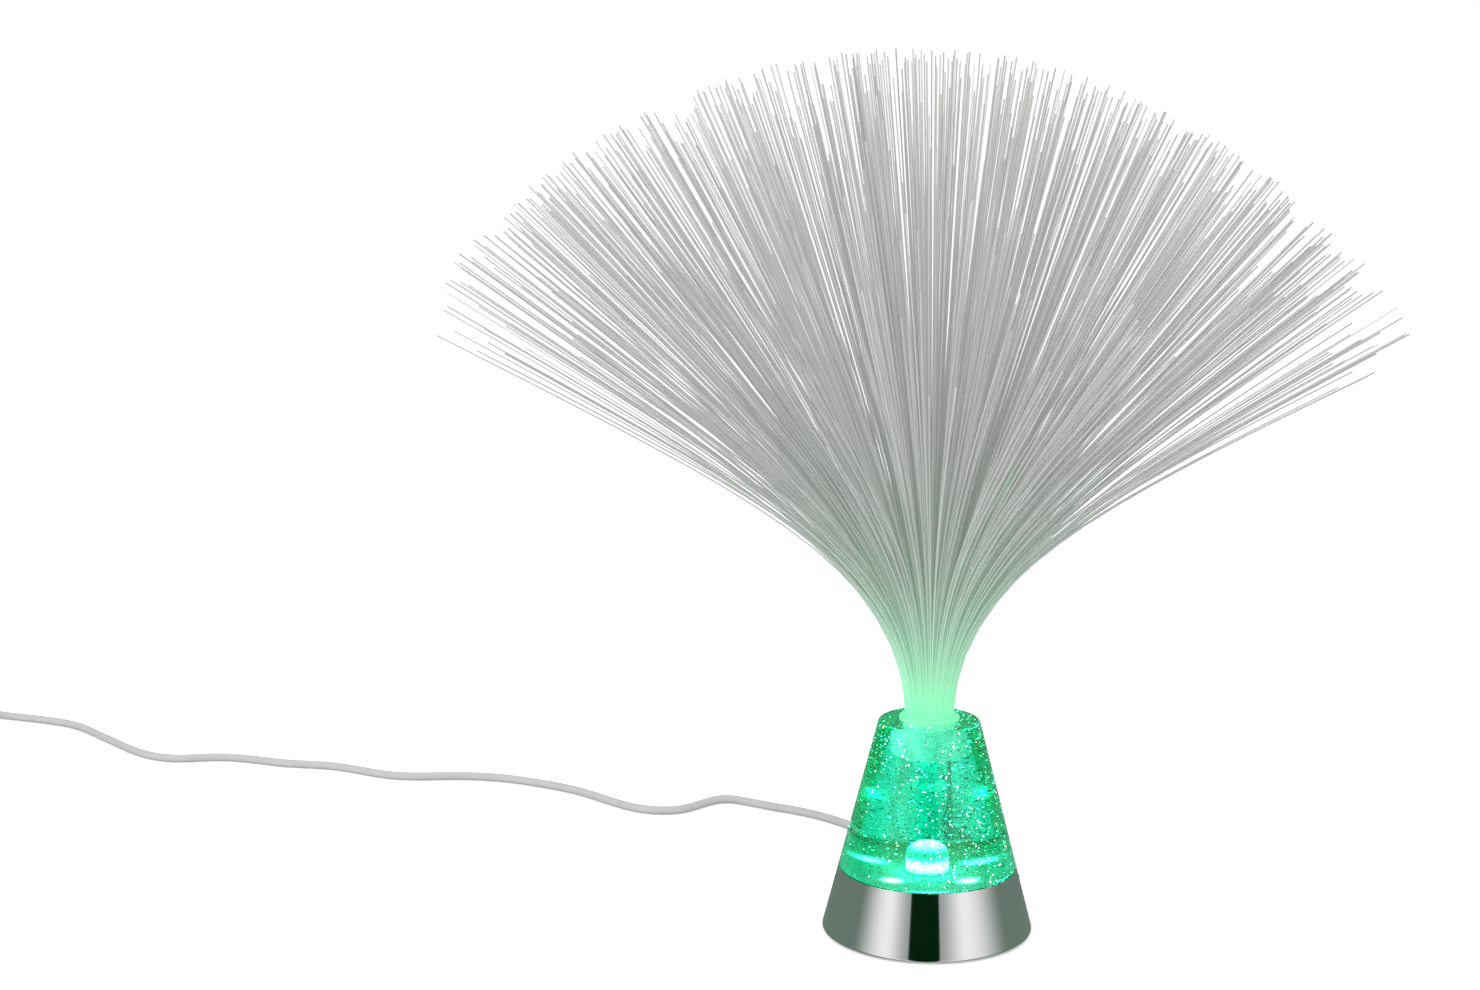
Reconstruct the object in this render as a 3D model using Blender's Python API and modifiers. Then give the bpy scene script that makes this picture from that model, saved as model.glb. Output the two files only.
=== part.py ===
"""Fibre optic table lamp: a chrome ring, a clear glitter filled cone, LEDs, and a spray of light fibres.

The lamp stands on the table at z = 0 with its axis on Z. The lead leaves the back of the ring (+Y),
lies on the table towards -X and ends in a coil with its plug. Lengths are in metres.
"""
import math
import random

import bmesh
import bpy
import numpy as np
from mathutils import Matrix, Vector

# Fits
GAP = 0.0003  # between pieces that rest on or fit round each other
OVERRUN = 0.002  # how far a cutter runs past what it cuts
MERGE_DISTANCE = 0.000001

# Chrome ring and the flank that the ring and the clear cone share
FOOT_PROUD = 0.0008
BASE_RADIUS = 0.040
RING_HEIGHT = 0.0245
RING_WALL = 0.0022
RING_EDGE_RADIUS = 0.0009
LIP_WALL = 0.0020
LEDGE_THICK = 0.0020
LEDGE_INSET = 0.0150  # from the ring's foot radius in to the ledge's bore
LEDGE_BORE_RADIUS = BASE_RADIUS - LEDGE_INSET
BOSS_RADIUS = 0.0030
BOSS_INSET = 0.0115
BOSS_CIRCLE_RADIUS = BASE_RADIUS - BOSS_INSET
BOSS_RIB_THICK = 0.0016
BOSS_RIB_DEPTH = 0.0100
RIB_INTO_WALL_SHARE = 0.25
T_ANGLES = (0, 180, 270)  # degrees, where bosses, posts and their screws stand

# Clear cone
CONE_HEIGHT = 0.0569
CONE_TOP_RADIUS = 0.0190
CONE_TOP_EDGE_RADIUS = 0.0015
SPIGOT_DEPTH = 0.0020
SOCKET_DEPTH = 0.0140
SOCKET_CHAMFER = 0.0004

# Reflector, board and what stands on it
REFLECTOR_THICK = 0.0008
BOARD_DROP = 0.0016  # from the reflector down to the board
BOARD_THICK = 0.0016
BOARD_CLEARANCE = 0.0005  # round the board, in the ledge's bore
BOARD_RADIUS = LEDGE_BORE_RADIUS - BOARD_CLEARANCE
POST_INSET = 0.0045
POST_CIRCLE_RADIUS = BOARD_RADIUS - POST_INSET
POST_RADIUS = 0.0025
CENTRE_LED_RADIUS = 0.0050
CENTRE_LED_HEIGHT = 0.0135
CENTRE_LED_FLANGE = 0.0005
CENTRE_LED_FLANGE_HEIGHT = 0.0015
LED_POCKET_CLEARANCE = 0.0004
LED_POCKET_HEADROOM = 0.0012
SIDE_LED_WIDTH = 0.0050
SIDE_LED_HEIGHT = 0.0016
REFLECTOR_HOLE_RADIUS = CENTRE_LED_RADIUS + CENTRE_LED_FLANGE + GAP
SIDE_LED_PLACE_SHARE = 0.545  # of the way from the middle LED's hole to the board's edge
SIDE_LED_CIRCLE_RADIUS = REFLECTOR_HOLE_RADIUS + (BOARD_RADIUS - REFLECTOR_HOLE_RADIUS) * SIDE_LED_PLACE_SHARE
SIDE_LED_ANGLES = (45, 135, 225, 315)

# Small parts under the board, with their places as shares of the board's radius
CHIP_LENGTH = 0.0049
CHIP_WIDTH = 0.0039
CHIP_HEIGHT = 0.0015
CHIP_PITCH = 0.00127
CHIP_LEGS_A_SIDE = 4
CHIP_LEG_WIDTH = 0.0004
CHIP_LEG_REACH = 0.0011
CHIP_LEG_THICK = 0.00025
CHIP_LEG_ROOT_SHARE = 0.25  # of the legs' reach, how far they start inside the body
CHIP_LEG_KNEE_SHARE = 0.5
CHIP_PLACE_SHARES = (-0.33, 0.25)
CAPACITOR_RADIUS = 0.0025
CAPACITOR_HEIGHT = 0.0070
CAPACITOR_PLACE_SHARES = (0.43, 0.25)
CAPACITOR_GROOVE_SHARES = (0.14, 0.25)  # of its height, where the rolled groove starts and ends
CAPACITOR_WAIST_SHARE = 0.125
RESISTOR_LENGTH = 0.0032
RESISTOR_WIDTH = 0.0016
RESISTOR_HEIGHT = 0.0006
RESISTOR_PLACE_SHARES = ((-0.37, -0.16), (-0.37, -0.31))

# Base cover, feet and screws
COVER_THICK = 0.0020
COVER_CHAMFER = 0.0004
FOOT_RADIUS = 0.0040
FOOT_INSET = 0.0100
FOOT_CIRCLE_RADIUS = BASE_RADIUS - FOOT_INSET
FOOT_RECESS = 0.0008
FOOT_ANGLES = (45, 135, 225, 315)
SCREW_RADIUS = 0.0013
SCREW_HEAD_RADIUS = 0.0024
SCREW_HEAD_HEIGHT = 0.0010
SCREW_CROWN_SHARE = 0.6  # of the head's radius
SCREW_RIM_SHARE = 0.33  # of the head's height
SCREW_SLOT_WIDTH = 0.0005
SCREW_SLOT_DEPTH = 0.0005
COVER_SCREW_LENGTH = 0.0080
BOARD_SCREW_LENGTH = 0.0060
PILOT_DEPTH_SPARE = 0.0010

# Slide switch in the underside
SWITCH_PLACE = (0.0, -0.0060)
SWITCH_LENGTH = 0.0110
SWITCH_WIDTH = 0.0056
SWITCH_HEIGHT = 0.0048
SWITCH_TRAVEL = 0.0030
KNOB_LENGTH = 0.0028
KNOB_WIDTH = 0.0018
KNOB_CARRIER_LENGTH = 0.0044
KNOB_CARRIER_WIDTH = 0.0032
KNOB_CARRIER_HEIGHT = 0.0020
KNOB_SIDE_CLEARANCE = 0.0004
SWITCH_RECESS_LENGTH = 0.0130
SWITCH_RECESS_WIDTH = 0.0080
SWITCH_RECESS_DEPTH = 0.0012
SWITCH_RECESS_CORNER_SHARE = 0.33  # of its half width
KNOB_GROOVE_SHARE = 0.14  # of the knob's length
CLIP_ROOT_SHARE = 0.25  # of the cover's thickness
CLIP_THICK = 0.0012
CLIP_WIDTH = 0.0036
CLIP_LIP = 0.0008

# Lead, its strain relief and its clamp
CORD_DIAMETER = 0.0035
CORD_HEIGHT = 0.0092  # axis of the lead where it leaves the ring
GLAND_NECK_RADIUS = 0.0031
GLAND_FLANGE_RADIUS = 0.0042
GLAND_FLANGE_THICK = 0.0013
GLAND_ROOT_RADIUS = 0.0034
GLAND_TIP_RADIUS = 0.0024
GLAND_TAIL_LENGTH = 0.0180
GLAND_HUB_LENGTH = 0.0020
GLAND_GROOVE_DEPTH = 0.0004
GLAND_GROOVES = 3
CLAMP_INSET = 0.0130
CLAMP_PLACE = BASE_RADIUS - CLAMP_INSET
CORD_PAST_CLAMP = 0.0070
CORD_INNER_END = CLAMP_PLACE - CORD_PAST_CLAMP
CLAMP_LENGTH = 0.0150
CLAMP_WIDTH = 0.0050
CLAMP_THICK = 0.0022
CLAMP_POST_SPACING = 0.0100
CLAMP_POST_RADIUS = 0.0021
CLAMP_SADDLE_WIDTH = 0.0040
WIRE_DIAMETER = 0.0013
WIRE_PAD_SPACING = 0.0050
WIRE_REACH = 0.0090  # from the lead's cut end to the pads on the board
WIRE_PAD_PLACE = CORD_INNER_END - WIRE_REACH
SWITCH_WIRE_DIAMETER = 0.0009
SWITCH_WIRE_BOW = 0.0026
SWITCH_TERMINAL_SPACING = 0.0060

# Free lead on the table
CORD_LIFT = 0.0001  # keeps the faceted lead above the table
CORD_POINT_SPACING = 0.0096
CORD_LEVEL_RUN = 0.0070  # straight out of the strain relief
CORD_FALL_RUN = 0.0175  # from the strain relief to where it nears the table
CORD_FALL_SAG = 0.0004
CORD_FALL_SHIFT = 0.0009
# Route along the table from the strain relief to the coil, chosen by hand: x, y
CORD_ROUTE = (
    (-0.004, 0.084), (-0.010, 0.098), (-0.017, 0.110), (-0.025, 0.122), (-0.034, 0.132),
    (-0.045, 0.141), (-0.057, 0.148), (-0.068, 0.155), (-0.078, 0.159), (-0.088, 0.152),
    (-0.099, 0.143), (-0.110, 0.143), (-0.122, 0.150), (-0.134, 0.162), (-0.146, 0.173),
    (-0.162, 0.183), (-0.180, 0.191), (-0.203, 0.194), (-0.226, 0.194), (-0.242, 0.201),
    (-0.260, 0.210), (-0.280, 0.214), (-0.299, 0.221), (-0.316, 0.224), (-0.334, 0.222),
    (-0.348, 0.228), (-0.363, 0.243), (-0.379, 0.262), (-0.395, 0.279), (-0.411, 0.288),
    (-0.432, 0.296),
)

# Coil of the length put away, its tie and the plug
COIL_CENTRE = (-0.4651, 0.2826)
COIL_MEAN_RADIUS = 0.0200
COIL_TURN_GAP = 0.0005
COIL_START_ANGLE = 70
COIL_END_ANGLE = 180
COIL_WHOLE_TURNS = 4
COIL_POINTS_A_TURN = 24
COIL_REVERSAL_DIP = 0.0010
COIL_LEAST_GAP = 0.0004
TIE_THICK = 0.0006
TIE_WIDTH = 0.0050
TIE_CLEARANCE = 0.0004
TIE_ANGLE = 300
PLUG_DROP = 0.0330  # from the coil's end to the plug, along the tail
PLUG_OFFSET = 0.0021
PLUG_LIFT = 0.0002
GRIP_WIDTH = 0.0135
GRIP_HEIGHT = 0.0078
GRIP_LENGTH = 0.0230
GRIP_SHOULDER_LENGTH = 0.0040
GRIP_TAIL_LENGTH = 0.0080
GRIP_TAIL_WIDTH = 0.0050
GRIP_EDGE_RADIUS = 0.0010
SHELL_WIDTH = 0.0120
SHELL_HEIGHT = 0.0045
SHELL_LENGTH = 0.0185
SHELL_WALL = 0.0004
SHELL_HOLE_WIDTH = 0.0022
SHELL_HOLE_PLACE = 0.0065
SHELL_HOLE_SPACING = 0.0050
TONGUE_HEIGHT = 0.0018
TONGUE_SHORTFALL = 0.0010

# Light fibres
BUNDLE_RADIUS = 0.0093
COLLAR_RADIUS = 0.01135
COLLAR_THICK = 0.0014
COLLAR_EDGE_RADIUS = 0.0006
SECTORS = 6
FIBRE_ROWS = 10
FIBRE_RADIUS = 0.00045
FIBRE_LENGTH = 0.2515
FIBRE_BEND_LENGTH = 0.052
FIBRE_BEND_POWER = 1.15
FIBRE_EVEN_TILT = 56.0  # degrees from upright at the tip, in step with the distance from the middle
FIBRE_EDGE_TILT = 5.5  # what the outermost row leans further
FIBRE_EDGE_POWER = 12
FIBRE_TILT_JITTER = 0.8
FIBRE_SWING_JITTER = 0.6
LEAST_SPREAD_SHARE = 0.2
ROOT_MIDDLE_SHARE = 1 / 3  # of a row, from its outer edge in to the middle of a root triangle
# Locks that the fibres gather in, with narrow gaps between them
LOCKS = 150
LOCK_SEED = 21
LOCK_CENTRE_PULL_SHARE = 0.10  # how far a fibre in the middle of the bundle leans towards its lock
LOCK_EDGE_PULL_SHARE = 0.50
FIBRE_LENGTH_JITTER_SHARE = 0.035
FIBRE_STEPS = 48
FIBRE_SEED = 11
# Where a fibre's straight stretches meet, as shares of its length, by the last row that uses them
FIBRE_STOP_SHARES = (
    (3, (0.30, 1.00)),
    (8, (0.14, 0.40, 1.00)),
    (10, (0.11, 0.23, 0.46, 1.00)),
)

# Facets
BODY_STEPS = 40
INNER_STEPS = 36
ROUND_STEPS = 20
FOOT_STEPS = 16
SMALL_STEPS = 12
TINY_STEPS = 8

COLLECTION_NAME = "fibre_optic_lamp"
CUTTER_COLLECTION_NAME = "cutters"
TURN = 2 * math.pi

# Heights that follow from the sizes above
RING_BOTTOM = FOOT_PROUD
RING_TOP = RING_BOTTOM + RING_HEIGHT
SEAM = RING_TOP + GAP
CONE_TOP = SEAM + CONE_HEIGHT
SPIGOT_BOTTOM = SEAM - SPIGOT_DEPTH
REFLECTOR_TOP = SPIGOT_BOTTOM - GAP
REFLECTOR_BOTTOM = REFLECTOR_TOP - REFLECTOR_THICK
LEDGE_TOP = REFLECTOR_BOTTOM - GAP
LEDGE_BOTTOM = LEDGE_TOP - LEDGE_THICK
BOARD_TOP = REFLECTOR_BOTTOM - BOARD_DROP
BOARD_BOTTOM = BOARD_TOP - BOARD_THICK
COVER_TOP = RING_BOTTOM + COVER_THICK
BOSS_BOTTOM = COVER_TOP + GAP
POST_TOP = BOARD_BOTTOM - GAP
SOCKET_FLOOR = CONE_TOP - SOCKET_DEPTH
COLLAR_BOTTOM = CONE_TOP + GAP
FIBRE_ROOT = COLLAR_BOTTOM + COLLAR_THICK / 2
CORD_RADIUS = CORD_DIAMETER / 2
CORD_REST = CORD_RADIUS + CORD_LIFT
COIL_PITCH = CORD_DIAMETER + COIL_TURN_GAP
COIL_LOW = TIE_THICK + GAP + CORD_RADIUS
COIL_HIGH = COIL_LOW + COIL_PITCH
FLANK_SLOPE = (BASE_RADIUS - CONE_TOP_RADIUS) / (CONE_TOP - RING_BOTTOM)


def flank_radius(height: float) -> float:
    """Outer radius of the ring and the clear cone at a height."""
    return BASE_RADIUS - FLANK_SLOPE * (height - RING_BOTTOM)


def ring_inner_radius(height: float) -> float:
    """Inner radius of the ring's wall at a height."""
    return flank_radius(height) - RING_WALL


COVER_RADIUS = ring_inner_radius(COVER_TOP) - GAP
LIP_RADIUS = flank_radius(RING_TOP) - LIP_WALL
SPIGOT_RADIUS = LIP_RADIUS - GAP
SOCKET_RADIUS = BUNDLE_RADIUS + GAP
GLAND_WALL_OUT = flank_radius(CORD_HEIGHT) + GAP
GLAND_WALL_IN = ring_inner_radius(CORD_HEIGHT) - 2 * GAP
GLAND_END = GLAND_WALL_OUT + GLAND_FLANGE_THICK + GLAND_TAIL_LENGTH
GLAND_START = GLAND_WALL_IN - GLAND_FLANGE_THICK - GLAND_HUB_LENGTH


# Scene and object helpers


def clear_scene() -> None:
    """Remove every object that is in the scene."""
    for old in list(bpy.data.objects):
        bpy.data.objects.remove(old, do_unlink=True)


def make_collection(name: str) -> bpy.types.Collection:
    """Add a collection to the scene."""
    made = bpy.data.collections.new(name)
    bpy.context.scene.collection.children.link(made)
    return made


def material(name: str, colour: tuple, roughness: float, metallic: float = 0.0, alpha: float = 1.0):
    """Make a Principled material from plain values."""
    made = bpy.data.materials.new(name)
    made.use_nodes = True
    shader = made.node_tree.nodes["Principled BSDF"]
    shader.inputs["Base Color"].default_value = (*colour, 1.0)
    shader.inputs["Roughness"].default_value = roughness
    shader.inputs["Metallic"].default_value = metallic
    shader.inputs["Alpha"].default_value = alpha
    made.diffuse_color = (*colour, alpha)
    return made


def place(obj: bpy.types.Object, collection: str, finish=None, parent=None) -> bpy.types.Object:
    """Link an object to its collection and give it a material and a parent."""
    bpy.data.collections[collection].objects.link(obj)
    if finish:
        obj.data.materials.append(finish)
    if parent:
        obj.parent = parent
    return obj


def mesh_object(name: str, bm: bmesh.types.BMesh, finish=None, parent=None, cutter: bool = False):
    """Turn a bmesh into an object."""
    bmesh.ops.recalc_face_normals(bm, faces=bm.faces)
    mesh = bpy.data.meshes.new(name)
    bm.to_mesh(mesh)
    bm.free()
    obj = bpy.data.objects.new(name, mesh)
    if cutter:
        return hide_cutter(place(obj, CUTTER_COLLECTION_NAME))
    smooth(mesh)
    return place(obj, COLLECTION_NAME, finish, parent)


def hide_cutter(obj: bpy.types.Object) -> bpy.types.Object:
    """Keep a cutter out of renders and show it as wire."""
    obj.hide_render = True
    obj.display_type = "WIRE"
    return obj


def smooth(mesh: bpy.types.Mesh) -> None:
    """Shade round faces smooth and keep real edges sharp."""
    mesh.shade_smooth()
    mesh.set_sharp_from_angle(angle=math.radians(35))


def empty(name: str, location: tuple, parent=None) -> bpy.types.Object:
    """Add an empty that pieces hang from."""
    made = bpy.data.objects.new(name, None)
    made.location = location
    return place(made, COLLECTION_NAME, None, parent)


def boolean(obj: bpy.types.Object, other: bpy.types.Object, operation: str) -> None:
    """Cut or join another object into this one with a modifier."""
    step = obj.modifiers.new(other.name, "BOOLEAN")
    step.operation = operation
    step.object = other
    step.solver = "EXACT"


def turned(name: str, profile: list, steps: int, finish=None, parent=None, cutter: bool = False):
    """Turn a profile of (radius, height) points round Z with a Screw modifier.

    The points run down the outer side from top to bottom. A profile whose ends are not both on the
    axis is closed on itself.
    """
    on_axis = profile[0][0] == 0 and profile[-1][0] == 0
    mesh = bpy.data.meshes.new(name)
    edges = [(i, i + 1) for i in range(len(profile) - 1)]
    if not on_axis:
        edges.append((len(profile) - 1, 0))
    mesh.from_pydata([(radius, 0, height) for radius, height in profile], edges, [])
    obj = bpy.data.objects.new(name, mesh)
    screw = obj.modifiers.new("turn", "SCREW")
    screw.steps = steps
    screw.render_steps = steps
    screw.use_merge_vertices = True
    screw.merge_threshold = MERGE_DISTANCE
    screw.use_smooth_shade = True
    if cutter:
        return hide_cutter(place(obj, CUTTER_COLLECTION_NAME))
    return place(obj, COLLECTION_NAME, finish, parent)


def baked(obj: bpy.types.Object) -> bpy.types.Object:
    """Replace an object with the mesh that its modifiers or its curve give."""
    graph = bpy.context.evaluated_depsgraph_get()
    mesh = bpy.data.meshes.new_from_object(obj.evaluated_get(graph))
    bm = bmesh.new()
    bm.from_mesh(mesh)
    bmesh.ops.remove_doubles(bm, verts=bm.verts, dist=MERGE_DISTANCE)
    bmesh.ops.recalc_face_normals(bm, faces=bm.faces)
    bm.to_mesh(mesh)
    bm.free()
    name, matrix, parent = obj.name, obj.matrix_world.copy(), obj.parent
    bpy.data.objects.remove(obj, do_unlink=True)
    made = bpy.data.objects.new(name, mesh)
    made.matrix_world = matrix
    smooth(mesh)
    place(made, COLLECTION_NAME)
    made.parent = parent
    return made


def arc(centre: tuple, radius: float, start: float, end: float, points: int) -> list:
    """Points on an arc from one angle to another, in degrees."""
    angles = np.radians(np.linspace(start, end, points))
    return [(centre[0] + radius * math.cos(a), centre[1] + radius * math.sin(a)) for a in angles]


def add_box(bm: bmesh.types.BMesh, low: tuple, high: tuple) -> None:
    """Add a box between two corners."""
    size = Vector(high) - Vector(low)
    middle = (Vector(high) + Vector(low)) / 2
    matrix = Matrix.Translation(middle) @ Matrix.Diagonal((*size, 1))
    bmesh.ops.create_cube(bm, size=1, matrix=matrix)


def add_cylinder(bm, radius: float, low: float, high: float, at: tuple = (0, 0), steps: int = SMALL_STEPS):
    """Add an upright cylinder."""
    matrix = Matrix.Translation((at[0], at[1], (low + high) / 2))
    bmesh.ops.create_cone(
        bm, cap_ends=True, segments=steps, radius1=radius, radius2=radius, depth=high - low, matrix=matrix
    )


def on_circle(radius: float, degrees: float) -> tuple:
    """A point on a circle round the lamp's axis."""
    return radius * math.cos(math.radians(degrees)), radius * math.sin(math.radians(degrees))


def tube(name: str, points: list, radius: float, resolution: int, finish, parent=None):
    """A round tube with filled caps along a POLY spline."""
    curve = bpy.data.curves.new(name, "CURVE")
    curve.dimensions = "3D"
    curve.bevel_depth = radius
    curve.bevel_resolution = resolution
    curve.use_fill_caps = True
    spline = curve.splines.new("POLY")
    spline.points.add(len(points) - 1)
    for spot, point in zip(spline.points, points):
        spot.co = (*point, 1)
    return place(bpy.data.objects.new(name, curve), COLLECTION_NAME, finish, parent)


def smooth_curve(route: list, spacing: float) -> list:
    """Read points at even steps from a natural cubic spline through the route's points."""
    knots = np.array([tuple(p) for p in route], dtype=float)
    at = np.concatenate([[0], np.cumsum(np.linalg.norm(np.diff(knots, axis=0), axis=1))])
    steps = np.diff(at)
    count = len(at)
    rows = np.eye(count)
    right = np.zeros((count, 3))
    for i in range(1, count - 1):
        rows[i, i - 1 : i + 2] = steps[i - 1], 2 * (steps[i - 1] + steps[i]), steps[i]
        slope = (knots[i + 1] - knots[i]) / steps[i] - (knots[i] - knots[i - 1]) / steps[i - 1]
        right[i] = 6 * slope
    bends = np.linalg.solve(rows, right)
    samples = max(2, round(at[-1] / spacing)) + 1
    points = []
    for place_on in np.linspace(0, at[-1], samples):
        i = min(int(np.searchsorted(at, place_on, side="right")) - 1, count - 2)
        step, back, ahead = steps[i], at[i + 1] - place_on, place_on - at[i]
        bent = (bends[i] * back**3 + bends[i + 1] * ahead**3) / (6 * step)
        straight = (knots[i] / step - bends[i] * step / 6) * back
        straight = straight + (knots[i + 1] / step - bends[i + 1] * step / 6) * ahead
        points.append(Vector(bent + straight))
    return points


# Chrome ring


def ring_profile() -> list:
    """Outline of the flared ring: outer flank, rounded foot, wall, ledge and lip."""
    foot = (flank_radius(RING_BOTTOM + RING_EDGE_RADIUS) - RING_EDGE_RADIUS, RING_BOTTOM + RING_EDGE_RADIUS)
    return [
        (flank_radius(RING_TOP), RING_TOP),
        *arc(foot, RING_EDGE_RADIUS, 0, -90, 4),
        (ring_inner_radius(RING_BOTTOM), RING_BOTTOM),
        (ring_inner_radius(LEDGE_BOTTOM), LEDGE_BOTTOM),
        (LEDGE_BORE_RADIUS, LEDGE_BOTTOM),
        (LEDGE_BORE_RADIUS, LEDGE_TOP),
        (LIP_RADIUS, LEDGE_TOP),
        (LIP_RADIUS, RING_TOP),
    ]


def base_ring(finish, parent) -> None:
    """Chrome plated ring with the bosses that the cover screws into and the hole for the lead."""
    ring = turned("base_ring", ring_profile(), BODY_STEPS, finish, parent)
    into_ledge = (LEDGE_BOTTOM + LEDGE_TOP) / 2
    into_wall = ring_inner_radius(LEDGE_BOTTOM) + RING_WALL * RIB_INTO_WALL_SHARE
    for number, angle in enumerate(T_ANGLES, 1):
        rib = bmesh.new()
        low = (BOSS_CIRCLE_RADIUS, -BOSS_RIB_THICK / 2, LEDGE_BOTTOM - BOSS_RIB_DEPTH)
        add_box(rib, low, (into_wall, BOSS_RIB_THICK / 2, into_ledge))
        bmesh.ops.rotate(rib, verts=rib.verts, matrix=Matrix.Rotation(math.radians(angle), 3, "Z"))
        boolean(ring, mesh_object(f"boss_rib_{number}", rib, cutter=True), "UNION")
    bosses = bmesh.new()
    pilots = bmesh.new()
    pilot_top = COVER_TOP + COVER_SCREW_LENGTH + PILOT_DEPTH_SPARE
    for angle in T_ANGLES:
        at = on_circle(BOSS_CIRCLE_RADIUS, angle)
        add_cylinder(bosses, BOSS_RADIUS, BOSS_BOTTOM, into_ledge, at)
        add_cylinder(pilots, SCREW_RADIUS + GAP, BOSS_BOTTOM - OVERRUN, pilot_top, at)
    boolean(ring, mesh_object("bosses", bosses, cutter=True), "UNION")
    boolean(ring, mesh_object("boss_pilots", pilots, cutter=True), "DIFFERENCE")
    hole = bmesh.new()
    middle = Vector((0, flank_radius(CORD_HEIGHT), CORD_HEIGHT))
    matrix = Matrix.Translation(middle) @ Matrix.Rotation(TURN / 4, 4, "X")
    radius = GLAND_NECK_RADIUS + GAP
    bmesh.ops.create_cone(
        hole, cap_ends=True, segments=ROUND_STEPS, radius1=radius, radius2=radius,
        depth=2 * (RING_WALL + OVERRUN), matrix=matrix,
    )
    boolean(ring, mesh_object("lead_hole", hole, cutter=True), "DIFFERENCE")


# Clear cone


def clear_cone(finish, parent) -> None:
    """Solid clear cone: socket for the fibres in its top, pocket for the LED in its foot."""
    corner_height = CONE_TOP - CONE_TOP_EDGE_RADIUS
    corner = (flank_radius(corner_height) - CONE_TOP_EDGE_RADIUS, corner_height)
    pocket_radius = CENTRE_LED_RADIUS + LED_POCKET_CLEARANCE
    pocket_top = BOARD_TOP + GAP + CENTRE_LED_HEIGHT + LED_POCKET_HEADROOM
    dome = arc((0, pocket_top - pocket_radius), pocket_radius, 0, 90, 5)
    profile = [
        (0, SOCKET_FLOOR),
        (SOCKET_RADIUS, SOCKET_FLOOR),
        (SOCKET_RADIUS, CONE_TOP - SOCKET_CHAMFER),
        (SOCKET_RADIUS + SOCKET_CHAMFER, CONE_TOP),
        *reversed(arc(corner, CONE_TOP_EDGE_RADIUS, 0, 90, 5)),
        (flank_radius(SEAM), SEAM),
        (SPIGOT_RADIUS, SEAM),
        (SPIGOT_RADIUS, SPIGOT_BOTTOM),
        (pocket_radius, SPIGOT_BOTTOM),
        *dome[:-1],
        (0, pocket_top),
    ]
    turned("clear_cone", profile, BODY_STEPS, finish, parent)


# Reflector, board, LEDs and small parts


def reflector_plate(finish, parent) -> None:
    """White plate with a hole for the middle LED and a window for each side LED."""
    profile = [
        (SPIGOT_RADIUS, REFLECTOR_TOP),
        (SPIGOT_RADIUS, REFLECTOR_BOTTOM),
        (REFLECTOR_HOLE_RADIUS, REFLECTOR_BOTTOM),
        (REFLECTOR_HOLE_RADIUS, REFLECTOR_TOP),
    ]
    plate = turned("reflector_plate", profile, INNER_STEPS, finish, parent)
    windows = bmesh.new()
    half = SIDE_LED_WIDTH / 2 + GAP
    for angle in SIDE_LED_ANGLES:
        x, y = on_circle(SIDE_LED_CIRCLE_RADIUS, angle)
        low = (x - half, y - half, REFLECTOR_BOTTOM - OVERRUN)
        add_box(windows, low, (x + half, y + half, REFLECTOR_TOP + OVERRUN))
    boolean(plate, mesh_object("led_windows", windows, cutter=True), "DIFFERENCE")


def led_board(finish, parent) -> None:
    """Round circuit board with three screw holes."""
    profile = [(0, BOARD_TOP), (BOARD_RADIUS, BOARD_TOP), (BOARD_RADIUS, BOARD_BOTTOM), (0, BOARD_BOTTOM)]
    board = turned("led_board", profile, INNER_STEPS, finish, parent)
    holes = bmesh.new()
    for angle in T_ANGLES:
        at = on_circle(POST_CIRCLE_RADIUS, angle)
        add_cylinder(holes, SCREW_RADIUS + GAP, BOARD_BOTTOM - OVERRUN, BOARD_TOP + OVERRUN, at)
    boolean(board, mesh_object("board_holes", holes, cutter=True), "DIFFERENCE")


def centre_led(finish, parent) -> None:
    """Large domed LED that stands up into the clear cone."""
    foot = BOARD_TOP + GAP
    flange = CENTRE_LED_RADIUS + CENTRE_LED_FLANGE
    dome = arc((0, foot + CENTRE_LED_HEIGHT - CENTRE_LED_RADIUS), CENTRE_LED_RADIUS, 90, 0, 6)
    profile = [
        (0, foot + CENTRE_LED_HEIGHT),
        *dome[1:],
        (CENTRE_LED_RADIUS, foot + CENTRE_LED_FLANGE_HEIGHT),
        (flange, foot + CENTRE_LED_FLANGE_HEIGHT),
        (flange, foot),
        (0, foot),
    ]
    turned("centre_led", profile, ROUND_STEPS, finish, parent)


def side_leds(finish, parent) -> None:
    """Four small square LEDs round the middle one."""
    for number, angle in enumerate(SIDE_LED_ANGLES, 1):
        bm = bmesh.new()
        half = SIDE_LED_WIDTH / 2
        add_box(bm, (-half, -half, 0), (half, half, SIDE_LED_HEIGHT))
        led = mesh_object(f"side_led_{number}", bm, finish, parent)
        led.location = (*on_circle(SIDE_LED_CIRCLE_RADIUS, angle), BOARD_TOP + GAP)


def on_board(shares: tuple) -> tuple:
    """A place on the board from its shares of the board's radius."""
    return shares[0] * BOARD_RADIUS, shares[1] * BOARD_RADIUS


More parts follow.
